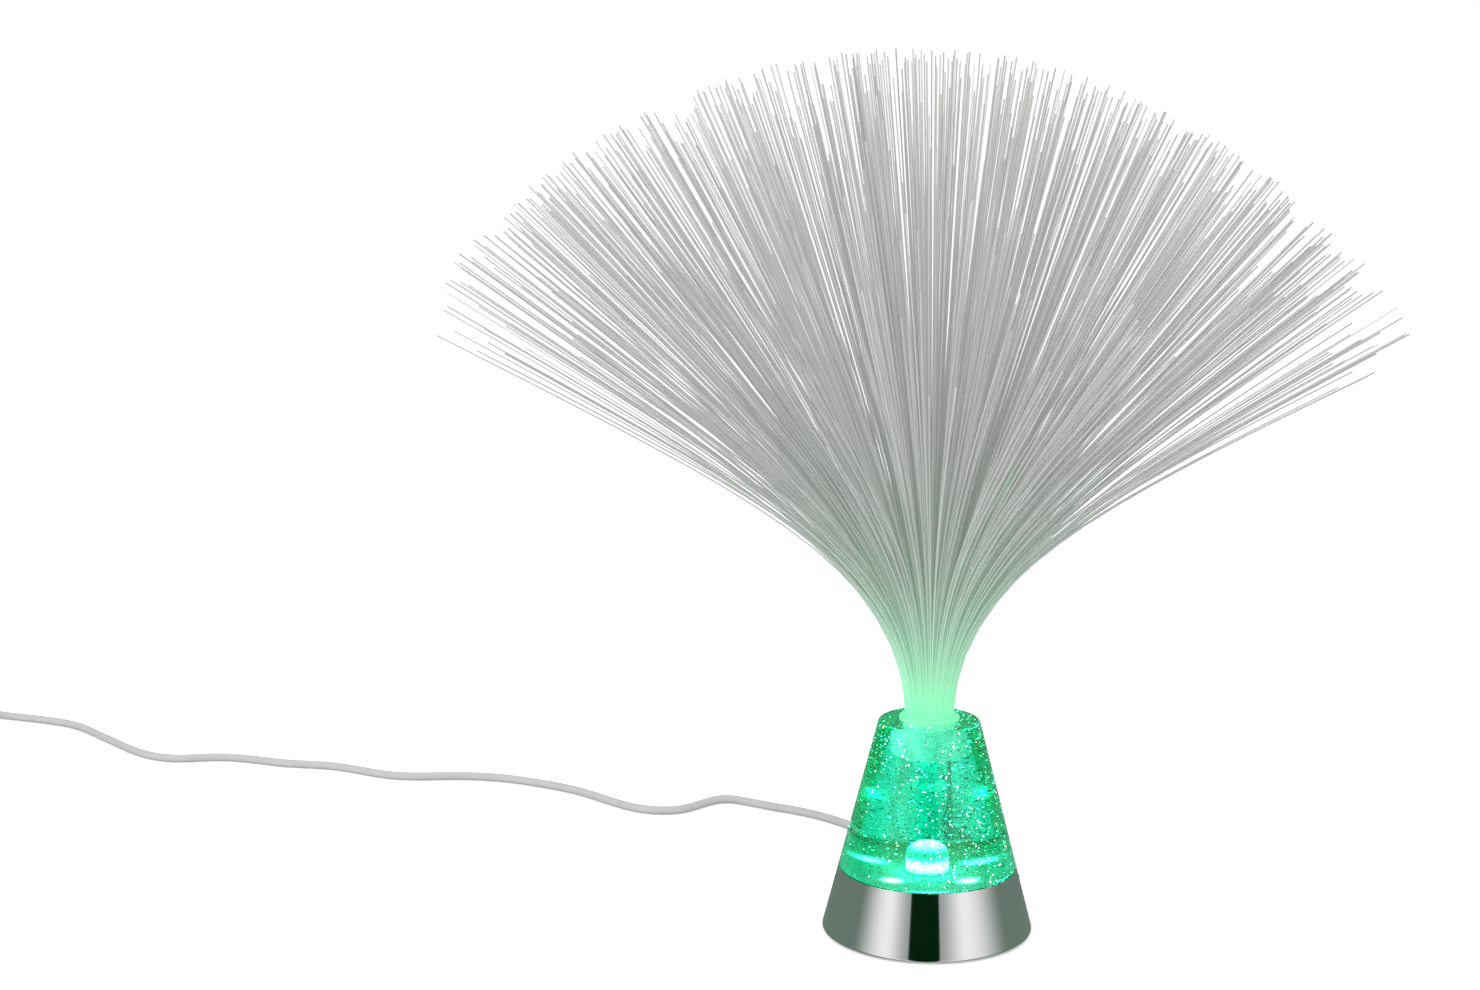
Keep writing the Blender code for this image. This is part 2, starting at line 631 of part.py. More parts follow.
def controller_chip(finish, parent) -> None:
    """Small chip with bent legs, soldered under the board."""
    top = BOARD_BOTTOM - GAP
    x, y = on_board(CHIP_PLACE_SHARES)
    body_top = top - CHIP_LEG_THICK
    body = bmesh.new()
    add_box(
        body,
        (x - CHIP_LENGTH / 2, y - CHIP_WIDTH / 2, body_top - CHIP_HEIGHT),
        (x + CHIP_LENGTH / 2, y + CHIP_WIDTH / 2, body_top),
    )
    chip = mesh_object("controller_chip", body, finish, parent)
    middle = body_top - CHIP_HEIGHT / 2
    for side in (-1, 1):
        arms = bmesh.new()
        feet = bmesh.new()
        root = y + side * (CHIP_WIDTH / 2 - CHIP_LEG_REACH * CHIP_LEG_ROOT_SHARE)
        knee = y + side * (CHIP_WIDTH / 2 + CHIP_LEG_REACH * CHIP_LEG_KNEE_SHARE)
        toe = y + side * (CHIP_WIDTH / 2 + CHIP_LEG_REACH)
        heel = knee - side * CHIP_LEG_THICK
        for leg in range(CHIP_LEGS_A_SIDE):
            at = x + (leg - (CHIP_LEGS_A_SIDE - 1) / 2) * CHIP_PITCH
            left, right = at - CHIP_LEG_WIDTH / 2, at + CHIP_LEG_WIDTH / 2
            add_box(arms, (left, min(root, knee), middle - CHIP_LEG_THICK), (right, max(root, knee), middle))
            add_box(feet, (left, min(heel, toe), middle - CHIP_LEG_THICK), (right, max(heel, toe), top))
        name = "front" if side < 0 else "back"
        boolean(chip, mesh_object(f"chip_arms_{name}", arms, cutter=True), "UNION")
        boolean(chip, mesh_object(f"chip_feet_{name}", feet, cutter=True), "UNION")


def capacitor(finish, parent) -> None:
    """Can capacitor that hangs under the board, with its rolled groove."""
    top = BOARD_BOTTOM - GAP
    groove_top, groove_bottom = (top - CAPACITOR_HEIGHT * share for share in CAPACITOR_GROOVE_SHARES)
    groove = (groove_top + groove_bottom) / 2
    waist = CAPACITOR_RADIUS - CAPACITOR_RADIUS * CAPACITOR_WAIST_SHARE
    profile = [
        (0, top), (CAPACITOR_RADIUS, top), (CAPACITOR_RADIUS, groove_top), (waist, groove),
        (CAPACITOR_RADIUS, groove_bottom), (CAPACITOR_RADIUS, top - CAPACITOR_HEIGHT),
        (0, top - CAPACITOR_HEIGHT),
    ]
    can = turned("capacitor", profile, SMALL_STEPS, finish, parent)
    can.location = (*on_board(CAPACITOR_PLACE_SHARES), 0)


def resistors(finish, parent) -> None:
    """Two flat resistors under the board."""
    for number, shares in enumerate(RESISTOR_PLACE_SHARES, 1):
        bm = bmesh.new()
        top = BOARD_BOTTOM - GAP
        low = (-RESISTOR_LENGTH / 2, -RESISTOR_WIDTH / 2, top - RESISTOR_HEIGHT)
        add_box(bm, low, (RESISTOR_LENGTH / 2, RESISTOR_WIDTH / 2, top))
        piece = mesh_object(f"resistor_{number}", bm, finish, parent)
        piece.location = (*on_board(shares), 0)


# Base cover, feet and screws


def cover_adds() -> bpy.types.Object:
    """Posts for the board, posts and saddle for the lead's clamp, as one joined shape."""
    adds = bmesh.new()
    foot = COVER_TOP - COVER_THICK / 2
    for angle in T_ANGLES:
        add_cylinder(adds, POST_RADIUS, foot, POST_TOP, on_circle(POST_CIRCLE_RADIUS, angle))
    for side in (-1, 1):
        at = (side * CLAMP_POST_SPACING / 2, CLAMP_PLACE)
        add_cylinder(adds, CLAMP_POST_RADIUS, foot, CORD_HEIGHT, at)
    half = CLAMP_SADDLE_WIDTH / 2
    low = (-half, CLAMP_PLACE - CLAMP_WIDTH / 2, foot)
    add_box(adds, low, (half, CLAMP_PLACE + CLAMP_WIDTH / 2, CORD_HEIGHT - CORD_RADIUS - GAP))
    return mesh_object("cover_posts", adds, cutter=True)


def switch_clips(side: int) -> bpy.types.Object:
    """Hooked wall that holds one end of the switch."""
    x, y = SWITCH_PLACE
    inner = SWITCH_LENGTH / 2 + GAP
    outer = inner + CLIP_THICK
    top = COVER_TOP + GAP + SWITCH_HEIGHT + GAP
    root = COVER_TOP - COVER_THICK * CLIP_ROOT_SHARE
    bm = bmesh.new()
    outline = [
        (inner, root), (outer, root), (outer, top + CLIP_THICK), (inner, top + CLIP_THICK),
        (inner - CLIP_LIP, top), (inner, top),
    ]
    corners = [bm.verts.new((x + side * across, y - CLIP_WIDTH / 2, up)) for across, up in outline]
    face = bm.faces.new(corners)
    grown = bmesh.ops.extrude_face_region(bm, geom=[face])["geom"]
    moved = [item for item in grown if isinstance(item, bmesh.types.BMVert)]
    bmesh.ops.translate(bm, verts=moved, vec=(0, CLIP_WIDTH, 0))
    return mesh_object("switch_clip_right" if side > 0 else "switch_clip_left", bm, cutter=True)


def switch_window_span() -> tuple:
    """Ends of the knob's window along X, from the switch's middle."""
    reach = (KNOB_LENGTH + SWITCH_TRAVEL) / 2 + KNOB_SIDE_CLEARANCE
    return -reach, reach


def cover_cuts() -> bpy.types.Object:
    """Everything that is cut out of the cover, as one joined shape."""
    cuts = bmesh.new()
    for angle in FOOT_ANGLES:
        at = on_circle(FOOT_CIRCLE_RADIUS, angle)
        roof = RING_BOTTOM + FOOT_RECESS
        add_cylinder(cuts, FOOT_RADIUS + GAP, RING_BOTTOM - OVERRUN, roof, at, FOOT_STEPS)
    pilot = SCREW_RADIUS + GAP
    board_pilot_bottom = BOARD_TOP - BOARD_SCREW_LENGTH - PILOT_DEPTH_SPARE
    for angle in T_ANGLES:
        at = on_circle(POST_CIRCLE_RADIUS, angle)
        add_cylinder(cuts, pilot, board_pilot_bottom, POST_TOP + OVERRUN, at)
    clamp_pilot_bottom = CORD_HEIGHT - BOARD_SCREW_LENGTH / 2 - PILOT_DEPTH_SPARE
    for side in (-1, 1):
        at = (side * CLAMP_POST_SPACING / 2, CLAMP_PLACE)
        add_cylinder(cuts, pilot, clamp_pilot_bottom, CORD_HEIGHT + OVERRUN, at)
    return mesh_object("cover_cuts", cuts, cutter=True)


def cover_screw_hole(number: int, angle: float) -> bpy.types.Object:
    """Hole for a cover screw with the recess for its head."""
    head = SCREW_HEAD_RADIUS + GAP
    shank = SCREW_RADIUS + GAP
    floor = RING_BOTTOM + SCREW_HEAD_HEIGHT + GAP
    profile = [
        (0, COVER_TOP + OVERRUN), (shank, COVER_TOP + OVERRUN), (shank, floor), (head, floor),
        (head, RING_BOTTOM - OVERRUN), (0, RING_BOTTOM - OVERRUN),
    ]
    hole = turned(f"cover_screw_hole_{number}", profile, SMALL_STEPS, cutter=True)
    hole.location = (*on_circle(BOSS_CIRCLE_RADIUS, angle), 0)
    return hole


def switch_opening() -> bpy.types.Object:
    """Finger recess for the switch in the underside."""
    x, y = SWITCH_PLACE
    bm = bmesh.new()
    half_length, half_width = SWITCH_RECESS_LENGTH / 2, SWITCH_RECESS_WIDTH / 2
    low = (x - half_length, y - half_width, RING_BOTTOM - OVERRUN)
    add_box(bm, low, (x + half_length, y + half_width, RING_BOTTOM + SWITCH_RECESS_DEPTH))
    upright = [edge for edge in bm.edges if abs(edge.verts[0].co.z - edge.verts[1].co.z) > GAP]
    corner = half_width * SWITCH_RECESS_CORNER_SHARE
    bmesh.ops.bevel(bm, geom=upright, offset=corner, segments=3, affect="EDGES", profile=0.5)
    return mesh_object("switch_recess", bm, cutter=True)


def switch_window() -> bpy.types.Object:
    """Slot that the knob comes through."""
    x, y = SWITCH_PLACE
    start, end = switch_window_span()
    half = KNOB_WIDTH / 2 + KNOB_SIDE_CLEARANCE
    bm = bmesh.new()
    add_box(bm, (x + start, y - half, RING_BOTTOM), (x + end, y + half, COVER_TOP + OVERRUN))
    return mesh_object("switch_window", bm, cutter=True)


def base_cover(finish, parent) -> None:
    """Moulded plate that closes the ring and carries the board, the switch and the feet."""
    profile = [
        (0, COVER_TOP), (COVER_RADIUS, COVER_TOP), (COVER_RADIUS, RING_BOTTOM + COVER_CHAMFER),
        (COVER_RADIUS - COVER_CHAMFER, RING_BOTTOM), (0, RING_BOTTOM),
    ]
    cover = turned("base_cover", profile, INNER_STEPS, finish, parent)
    boolean(cover, cover_adds(), "UNION")
    for side in (-1, 1):
        boolean(cover, switch_clips(side), "UNION")
    boolean(cover, cover_cuts(), "DIFFERENCE")
    for number, angle in enumerate(T_ANGLES, 1):
        boolean(cover, cover_screw_hole(number, angle), "DIFFERENCE")
    boolean(cover, switch_opening(), "DIFFERENCE")
    boolean(cover, switch_window(), "DIFFERENCE")


def feet(finish, parent) -> None:
    """Four rubber feet set in recesses of the cover."""
    top = RING_BOTTOM + FOOT_RECESS - GAP
    edge = FOOT_PROUD / 2
    profile = [(0, top), (FOOT_RADIUS, top), *arc((FOOT_RADIUS - edge, edge), edge, 0, -90, 3), (0, 0)]
    for number, angle in enumerate(FOOT_ANGLES, 1):
        foot = turned(f"foot_{number}", profile, FOOT_STEPS, finish, parent)
        foot.location = (*on_circle(FOOT_CIRCLE_RADIUS, angle), 0)


def screw_cross(name: str) -> bpy.types.Object:
    """Cross recess for a screw whose head's seat is at z = 0."""
    bm = bmesh.new()
    half, reach = SCREW_SLOT_WIDTH / 2, SCREW_HEAD_RADIUS / 2
    top, floor = SCREW_HEAD_HEIGHT + OVERRUN, SCREW_HEAD_HEIGHT - SCREW_SLOT_DEPTH
    corners = [
        (reach, -half), (reach, half), (half, half), (half, reach), (-half, reach), (-half, half),
        (-reach, half), (-reach, -half), (-half, -half), (-half, -reach), (half, -reach), (half, -half),
    ]
    face = bm.faces.new([bm.verts.new((x, y, floor)) for x, y in corners])
    grown = bmesh.ops.extrude_face_region(bm, geom=[face])["geom"]
    moved = [item for item in grown if isinstance(item, bmesh.types.BMVert)]
    bmesh.ops.translate(bm, verts=moved, vec=(0, 0, top - floor))
    return mesh_object(name, bm, cutter=True)


def screw_mesh(name: str, length: float, slotted: bool, finish, parent) -> bpy.types.Object:
    """Pan head screw with its head's seat at z = 0 and its point down."""
    rim = SCREW_HEAD_HEIGHT * SCREW_RIM_SHARE
    crown = SCREW_HEAD_RADIUS * SCREW_CROWN_SHARE
    profile = [
        (0, SCREW_HEAD_HEIGHT), (crown, SCREW_HEAD_HEIGHT), (SCREW_HEAD_RADIUS, rim), (SCREW_HEAD_RADIUS, 0),
        (SCREW_RADIUS, 0), (SCREW_RADIUS, -length + SCREW_RADIUS), (0, -length),
    ]
    screw = turned(name, profile, SMALL_STEPS if slotted else TINY_STEPS, finish, parent)
    if slotted:
        cross = screw_cross(f"{name}_cross")
        cross.parent = screw
        boolean(screw, cross, "DIFFERENCE")
    return screw


def screws(finish, parent) -> None:
    """Cover screws from below, board screws and clamp screws from above."""
    for number, angle in enumerate(T_ANGLES, 1):
        screw = screw_mesh(f"cover_screw_{number}", COVER_SCREW_LENGTH, True, finish, parent)
        screw.rotation_euler = (math.pi, 0, 0)
        screw.location = (*on_circle(BOSS_CIRCLE_RADIUS, angle), RING_BOTTOM + SCREW_HEAD_HEIGHT)
    for number, angle in enumerate(T_ANGLES, 1):
        screw = screw_mesh(f"board_screw_{number}", BOARD_SCREW_LENGTH, False, finish, parent)
        screw.location = (*on_circle(POST_CIRCLE_RADIUS, angle), BOARD_TOP + GAP)
    for number, side in enumerate((-1, 1), 1):
        screw = screw_mesh(f"clamp_screw_{number}", BOARD_SCREW_LENGTH, False, finish, parent)
        screw.location = (side * CLAMP_POST_SPACING / 2, CLAMP_PLACE, CORD_HEIGHT + GAP + CLAMP_THICK + GAP)


# Switch


def switch_housing(finish, parent) -> None:
    """Switch body, open below for the knob's carrier."""
    bottom = COVER_TOP + GAP
    body = bmesh.new()
    half_length, half_width = SWITCH_LENGTH / 2, SWITCH_WIDTH / 2
    add_box(body, (-half_length, -half_width, 0), (half_length, half_width, SWITCH_HEIGHT))
    housing = mesh_object("switch_housing", body, finish, parent)
    housing.location = (*SWITCH_PLACE, bottom)
    cavity = bmesh.new()
    reach = (KNOB_CARRIER_LENGTH + SWITCH_TRAVEL) / 2 + KNOB_SIDE_CLEARANCE
    half = KNOB_CARRIER_WIDTH / 2 + KNOB_SIDE_CLEARANCE
    add_box(cavity, (-reach, -half, -OVERRUN), (reach, half, KNOB_CARRIER_HEIGHT + 2 * GAP))
    hollow = mesh_object("switch_cavity", cavity, cutter=True)
    hollow.parent = housing
    boolean(housing, hollow, "DIFFERENCE")


def switch_knob(finish, parent) -> None:
    """Knob with its wide carrier above the cover and its ribbed tip in the recess."""
    bottom = COVER_TOP + GAP
    tip = RING_BOTTOM + GAP - bottom
    carrier = bmesh.new()
    half_length, half_width = KNOB_CARRIER_LENGTH / 2, KNOB_CARRIER_WIDTH / 2
    add_box(carrier, (-half_length, -half_width, 0), (half_length, half_width, KNOB_CARRIER_HEIGHT))
    knob = mesh_object("switch_knob", carrier, finish, parent)
    stem = bmesh.new()
    half_length, half_width = KNOB_LENGTH / 2, KNOB_WIDTH / 2
    add_box(stem, (-half_length, -half_width, tip), (half_length, half_width, KNOB_CARRIER_HEIGHT / 2))
    stalk = mesh_object("knob_stem", stem, cutter=True)
    stalk.parent = knob
    boolean(knob, stalk, "UNION")
    grooves = bmesh.new()
    width = KNOB_LENGTH * KNOB_GROOVE_SHARE
    for groove in (-1, 0, 1):
        at = groove * 2 * width
        low = (at - width / 2, -half_width - OVERRUN, tip - OVERRUN)
        add_box(grooves, low, (at + width / 2, half_width + OVERRUN, tip + GAP))
    cuts = mesh_object("knob_grooves", grooves, cutter=True)
    cuts.parent = knob
    boolean(knob, cuts, "DIFFERENCE")


# Lead where it enters the lamp


def gland_profile() -> list:
    """Strain relief from its inner flange (z = 0 at the lamp's axis) to its tip, along its length."""
    tail_start = GLAND_WALL_OUT + GLAND_FLANGE_THICK
    points = [(0, GLAND_END), (GLAND_TIP_RADIUS, GLAND_END)]
    pitch = GLAND_TAIL_LENGTH / (GLAND_GROOVES + 1)
    for groove in range(GLAND_GROOVES):
        middle = GLAND_END - (groove + 1) * pitch
        for offset, depth in ((pitch / 4, 0), (pitch / 4, 1), (-pitch / 4, 1), (-pitch / 4, 0)):
            height = middle + offset
            share = (GLAND_END - height) / GLAND_TAIL_LENGTH
            radius = GLAND_TIP_RADIUS + (GLAND_ROOT_RADIUS - GLAND_TIP_RADIUS) * share
            points.append((radius - depth * GLAND_GROOVE_DEPTH, height))
    return points + [
        (GLAND_ROOT_RADIUS, tail_start),
        (GLAND_FLANGE_RADIUS, tail_start),
        (GLAND_FLANGE_RADIUS, GLAND_WALL_OUT),
        (GLAND_NECK_RADIUS, GLAND_WALL_OUT),
        (GLAND_NECK_RADIUS, GLAND_WALL_IN),
        (GLAND_FLANGE_RADIUS, GLAND_WALL_IN),
        (GLAND_FLANGE_RADIUS, GLAND_WALL_IN - GLAND_FLANGE_THICK),
        (GLAND_TIP_RADIUS, GLAND_WALL_IN - GLAND_FLANGE_THICK),
        (GLAND_TIP_RADIUS, GLAND_START),
        (0, GLAND_START),
    ]


def cord_gland(finish, parent) -> None:
    """Moulded strain relief whose flanges lean with the ring's wall."""
    gland = turned("cord_gland", gland_profile(), FOOT_STEPS)
    gland = baked(gland)
    tail_start = GLAND_WALL_OUT + GLAND_FLANGE_THICK
    for vertex in gland.data.vertices:
        outer_share = (GLAND_END - vertex.co.z) / (GLAND_END - tail_start)
        inner_share = (vertex.co.z - GLAND_START) / GLAND_HUB_LENGTH
        share = min(1, max(0, outer_share), max(0, inner_share))
        vertex.co.z += FLANK_SLOPE * vertex.co.y * share
    gland.rotation_euler = (-TURN / 4, 0, 0)
    gland.location = (0, 0, CORD_HEIGHT)
    gland.data.materials.append(finish)
    gland.parent = parent


def inner_lead(sheath, red, black, parent) -> None:
    """Lead from the strain relief through the clamp, and its two wires up to the board."""
    start = GLAND_START - GAP
    points = [Vector((0, start, CORD_HEIGHT)), Vector((0, CORD_INNER_END, CORD_HEIGHT))]
    tube("cord_inner", points, CORD_RADIUS, 2, sheath, parent)
    wire_end = CORD_INNER_END - GAP
    for name, side, finish in (("wire_red", -1, red), ("wire_black", 1, black)):
        offset = side * (WIRE_DIAMETER + GAP) / 2
        pad = side * WIRE_PAD_SPACING / 2
        top = BOARD_BOTTOM - GAP
        route = [
            Vector((offset, wire_end, CORD_HEIGHT)),
            Vector((offset, wire_end - 2 * WIRE_DIAMETER, CORD_HEIGHT)),
            Vector((pad, WIRE_PAD_PLACE, (CORD_HEIGHT + top) / 2)),
            Vector((pad, WIRE_PAD_PLACE, top - WIRE_DIAMETER)),
            Vector((pad, WIRE_PAD_PLACE, top)),
        ]
        tube(name, smooth_curve(route, WIRE_DIAMETER), WIRE_DIAMETER / 2, 1, finish, parent)


def switch_wires(finish, parent) -> None:
    """Two wires from the board down to the switch."""
    x, y = SWITCH_PLACE
    top = BOARD_BOTTOM - GAP
    low = COVER_TOP + GAP + SWITCH_HEIGHT + GAP
    for number, side in enumerate((-1, 1), 1):
        at = x + side * SWITCH_TERMINAL_SPACING / 2
        bow = y + side * SWITCH_WIRE_BOW
        route = [
            Vector((at, y, low)), Vector((at, y, low + 2 * SWITCH_WIRE_DIAMETER)),
            Vector((at, bow, (low + top) / 2)), Vector((at, y, top - 2 * SWITCH_WIRE_DIAMETER)),
            Vector((at, y, top)),
        ]
        points = smooth_curve(route, 2 * SWITCH_WIRE_DIAMETER)
        tube(f"switch_wire_{number}", points, SWITCH_WIRE_DIAMETER / 2, 1, finish, parent)


def clamp_bar(finish, parent) -> None:
    """Bar over the lead with a groove for it and a screw hole at each end."""
    bottom = CORD_HEIGHT + GAP
    bm = bmesh.new()
    half_length, half_width = CLAMP_LENGTH / 2, CLAMP_WIDTH / 2
    low = (-half_length, CLAMP_PLACE - half_width, bottom)
    add_box(bm, low, (half_length, CLAMP_PLACE + half_width, bottom + CLAMP_THICK))
    bar = mesh_object("clamp_bar", bm, finish, parent)
    groove = bmesh.new()
    matrix = Matrix.Translation((0, CLAMP_PLACE, CORD_HEIGHT)) @ Matrix.Rotation(TURN / 4, 4, "X")
    radius = CORD_RADIUS + GAP
    bmesh.ops.create_cone(
        groove, cap_ends=True, segments=SMALL_STEPS, radius1=radius, radius2=radius,
        depth=CLAMP_WIDTH + 2 * OVERRUN, matrix=matrix,
    )
    for side in (-1, 1):
        at = (side * CLAMP_POST_SPACING / 2, CLAMP_PLACE)
        add_cylinder(groove, SCREW_RADIUS + GAP, bottom - OVERRUN, bottom + CLAMP_THICK + OVERRUN, at)
    boolean(bar, mesh_object("clamp_cuts", groove, cutter=True), "DIFFERENCE")


# Free lead, coil and plug


def coil_point(turned_angle: float, climb_start: float) -> Vector:
    """Centre of the coiled lead after it has turned by an angle, in degrees.

    It spirals in on the lower layer, climbs in the half turn where it reverses, and spirals out again.
    """
    outer = COIL_MEAN_RADIUS + COIL_PITCH * climb_start / 360 / 2
    inner = outer - COIL_PITCH * climb_start / 360
    if turned_angle <= climb_start:
        radius, height = outer - COIL_PITCH * turned_angle / 360, COIL_LOW
    elif turned_angle < climb_start + 180:
        share = (turned_angle - climb_start) / 180
        radius = inner - COIL_REVERSAL_DIP * math.sin(math.pi * share)
        height = COIL_LOW + COIL_PITCH * share * share * (3 - 2 * share)
    else:
        radius, height = inner + COIL_PITCH * (turned_angle - climb_start - 180) / 360, COIL_HIGH
    angle = math.radians(COIL_START_ANGLE + turned_angle)
    x, y = COIL_CENTRE
    return Vector((x + radius * math.cos(angle), y + radius * math.sin(angle), height))


def coil_points() -> list:
    """Centre line of the whole coil, with a straight lead in and out one diameter long."""
    whole = 360 * COIL_WHOLE_TURNS + COIL_END_ANGLE - COIL_START_ANGLE
    climb_start = (whole - 180) / 2
    count = round(whole / 360 * COIL_POINTS_A_TURN)
    points = [coil_point(whole * i / count, climb_start) for i in range(count + 1)]
    first = level_tangent(COIL_START_ANGLE)
    last = level_tangent(COIL_END_ANGLE)
    return [points[0] - first * CORD_DIAMETER, *points, points[-1] + last * CORD_DIAMETER]


def level_tangent(degrees: float) -> Vector:
    """Direction of travel round the coil at an angle."""
    angle = math.radians(degrees)
    return Vector((-math.sin(angle), math.cos(angle), 0))


def least_gap(points: list, diameter: float) -> float:
    """Least gap of a tube to itself, measured between its points more than half a turn apart."""
    spots = np.array([tuple(p) for p in points])
    apart = COIL_POINTS_A_TURN // 2
    least = min(
        float(np.linalg.norm(spots[i + apart :] - spots[i], axis=1).min()) for i in range(len(spots) - apart)
    )
    return least - diameter


def free_route() -> list:
    """Route of the lead from the strain relief to the coil, straight at both ends."""
    start = Vector((0, GLAND_END + GAP, CORD_HEIGHT))
    fall = [
        start,
        start + Vector((0, CORD_LEVEL_RUN, -CORD_FALL_SAG)),
        start + Vector((-CORD_FALL_SHIFT, CORD_FALL_RUN, CORD_REST - CORD_HEIGHT + CORD_DIAMETER)),
    ]
    lying = [Vector((x, y, CORD_REST)) for x, y in CORD_ROUTE]
    end = coil_points()[0] - level_tangent(COIL_START_ANGLE) * GAP
    before = end - level_tangent(COIL_START_ANGLE) * 2 * CORD_DIAMETER
    points = smooth_curve([*fall, *lying, before, end], CORD_POINT_SPACING)
    for point in points:
        point.z = max(point.z, CORD_REST)
    return points


def tail_route() -> list:
    """Short stretch from the coil's end down to the plug."""
    start = coil_points()[-1] + Vector((0, -GAP, 0))
    end = plug_start() + Vector((0, GAP, 0))
    route = [
        start,
        start + Vector((0, -CORD_DIAMETER, 0)),
        start.lerp(end, 0.5),
        end + Vector((0, CORD_DIAMETER, 0)),
        end,
    ]
    return smooth_curve(route, 2 * CORD_DIAMETER)


def plug_start() -> Vector:
    """Where the lead enters the plug, which points towards -Y."""
    end = coil_points()[-1]
    return Vector((end.x - PLUG_OFFSET, end.y - PLUG_DROP + CORD_DIAMETER, GRIP_HEIGHT / 2 + PLUG_LIFT))


def path_length(points: list) -> float:
    """Length of a line through points."""
    return sum((b - a).length for a, b in zip(points, points[1:]))


def free_lead(finish, parent) -> None:
    """The lead on the table, its coil and the tail that ends in the plug."""
    free, coil, tail = free_route(), coil_points(), tail_route()
    tube("cord_free", free, CORD_RADIUS, 2, finish, parent)
    tube("cord_coil", coil, CORD_RADIUS, 1, finish, parent)
    tube("cord_tail", tail, CORD_RADIUS, 2, finish, parent)
    gap = least_gap(coil, CORD_DIAMETER)
    print(f"coil: least gap to itself {gap * 1000:.2f} mm, wanted over {COIL_LEAST_GAP * 1000:.2f} mm")
    lengths = [path_length(points) for points in (free, coil, tail)]
    print("lead: free, coil, tail, whole " + ", ".join(f"{v:.3f}" for v in (*lengths, sum(lengths))) + " m")


def coil_tie(finish, parent) -> None:
    """Flat tie round the turns of the coil."""
    spots = coil_points()
    centre = Vector((*COIL_CENTRE, 0))
    towards = Vector((math.cos(math.radians(TIE_ANGLE)), math.sin(math.radians(TIE_ANGLE)), 0))
    flat = [Vector((p.x, p.y, 0)) - centre for p in spots]
    near = [f.length for f in flat if f.angle(towards) < TURN / COIL_POINTS_A_TURN]
    low = min(near) - CORD_RADIUS - TIE_CLEARANCE
    high = max(near) + CORD_RADIUS + TIE_CLEARANCE
    floor = TIE_THICK
    ceiling = COIL_HIGH + CORD_RADIUS + GAP
    curve = bpy.data.curves.new("coil_tie", "CURVE")
    curve.dimensions = "2D"
    curve.fill_mode = "BOTH"
    curve.extrude = TIE_WIDTH / 2
    for grow in (TIE_THICK, 0):
        corner = CORD_RADIUS / 2 + grow
        box = (low - grow, floor - grow, high + grow, ceiling + grow)
        add_rounded_outline(curve, box, corner)
    tie = bpy.data.objects.new("coil_tie", curve)
    place(tie, COLLECTION_NAME, None, None)
    basis = Matrix((towards, Vector((0, 0, 1)), towards.cross(Vector((0, 0, 1))))).transposed().to_4x4()
    tie.matrix_world = Matrix.Translation(centre) @ basis
    bpy.context.view_layer.update()
    tie = baked(tie)
    tie.data.materials.append(finish)
    tie.parent = parent


def add_rounded_outline(curve: bpy.types.Curve, box: tuple, corner: float) -> None:
    """Add a closed rectangle with round corners to a flat curve."""
    left, bottom, right, top = box
    centres = ((right - corner, top - corner, 0), (left + corner, top - corner, 90),
               (left + corner, bottom + corner, 180), (right - corner, bottom + corner, 270))
    points = []
    for x, y, start in centres:
        points += arc((x, y), corner, start, start + 90, 4)
    spline = curve.splines.new("POLY")
    spline.points.add(len(points) - 1)
    for spot, (x, y) in zip(spline.points, points):
        spot.co = (x, y, 0, 1)
    spline.use_cyclic_u = True


def plug_grip(finish, parent) -> None:
    """Moulded grip: a rounded block that narrows to a short neck round the lead."""
    sections = (
        (0, GRIP_TAIL_WIDTH, GRIP_TAIL_WIDTH),
        (GRIP_TAIL_LENGTH, GRIP_TAIL_WIDTH, GRIP_TAIL_WIDTH),
        (GRIP_TAIL_LENGTH + GRIP_SHOULDER_LENGTH, GRIP_WIDTH, GRIP_HEIGHT),
        (GRIP_TAIL_LENGTH + GRIP_SHOULDER_LENGTH + GRIP_LENGTH, GRIP_WIDTH, GRIP_HEIGHT),
    )
    bm = bmesh.new()
    rotation = Matrix.Rotation(TURN / 4, 4, "X")
    size = Matrix.Diagonal((GRIP_TAIL_WIDTH, GRIP_TAIL_WIDTH, 1, 1))
    made = bmesh.ops.create_grid(bm, x_segments=1, y_segments=1, size=0.5, matrix=rotation @ size)
    face = made["verts"][0].link_faces[0]
    for along, width, height in sections[1:]:
        grown = bmesh.ops.extrude_face_region(bm, geom=[face, *face.edges])["geom"]
        face = next(item for item in grown if isinstance(item, bmesh.types.BMFace))
        for vertex in face.verts:
            across, up = math.copysign(width / 2, vertex.co.x), math.copysign(height / 2, vertex.co.z)
            vertex.co = Vector((across, -along, up))
    grip = mesh_object("plug_grip", bm, finish, parent)
    grip.location = plug_start()
    rounding = grip.modifiers.new("edges", "BEVEL")
    rounding.width = GRIP_EDGE_RADIUS
    rounding.segments = 2
    rounding.limit_method = "ANGLE"
    rounding.angle_limit = math.radians(40)


def plug_front() -> Vector:
    """Middle of the grip's front face."""
    along = GRIP_TAIL_LENGTH + GRIP_SHOULDER_LENGTH + GRIP_LENGTH
    return plug_start() - Vector((0, along, 0))


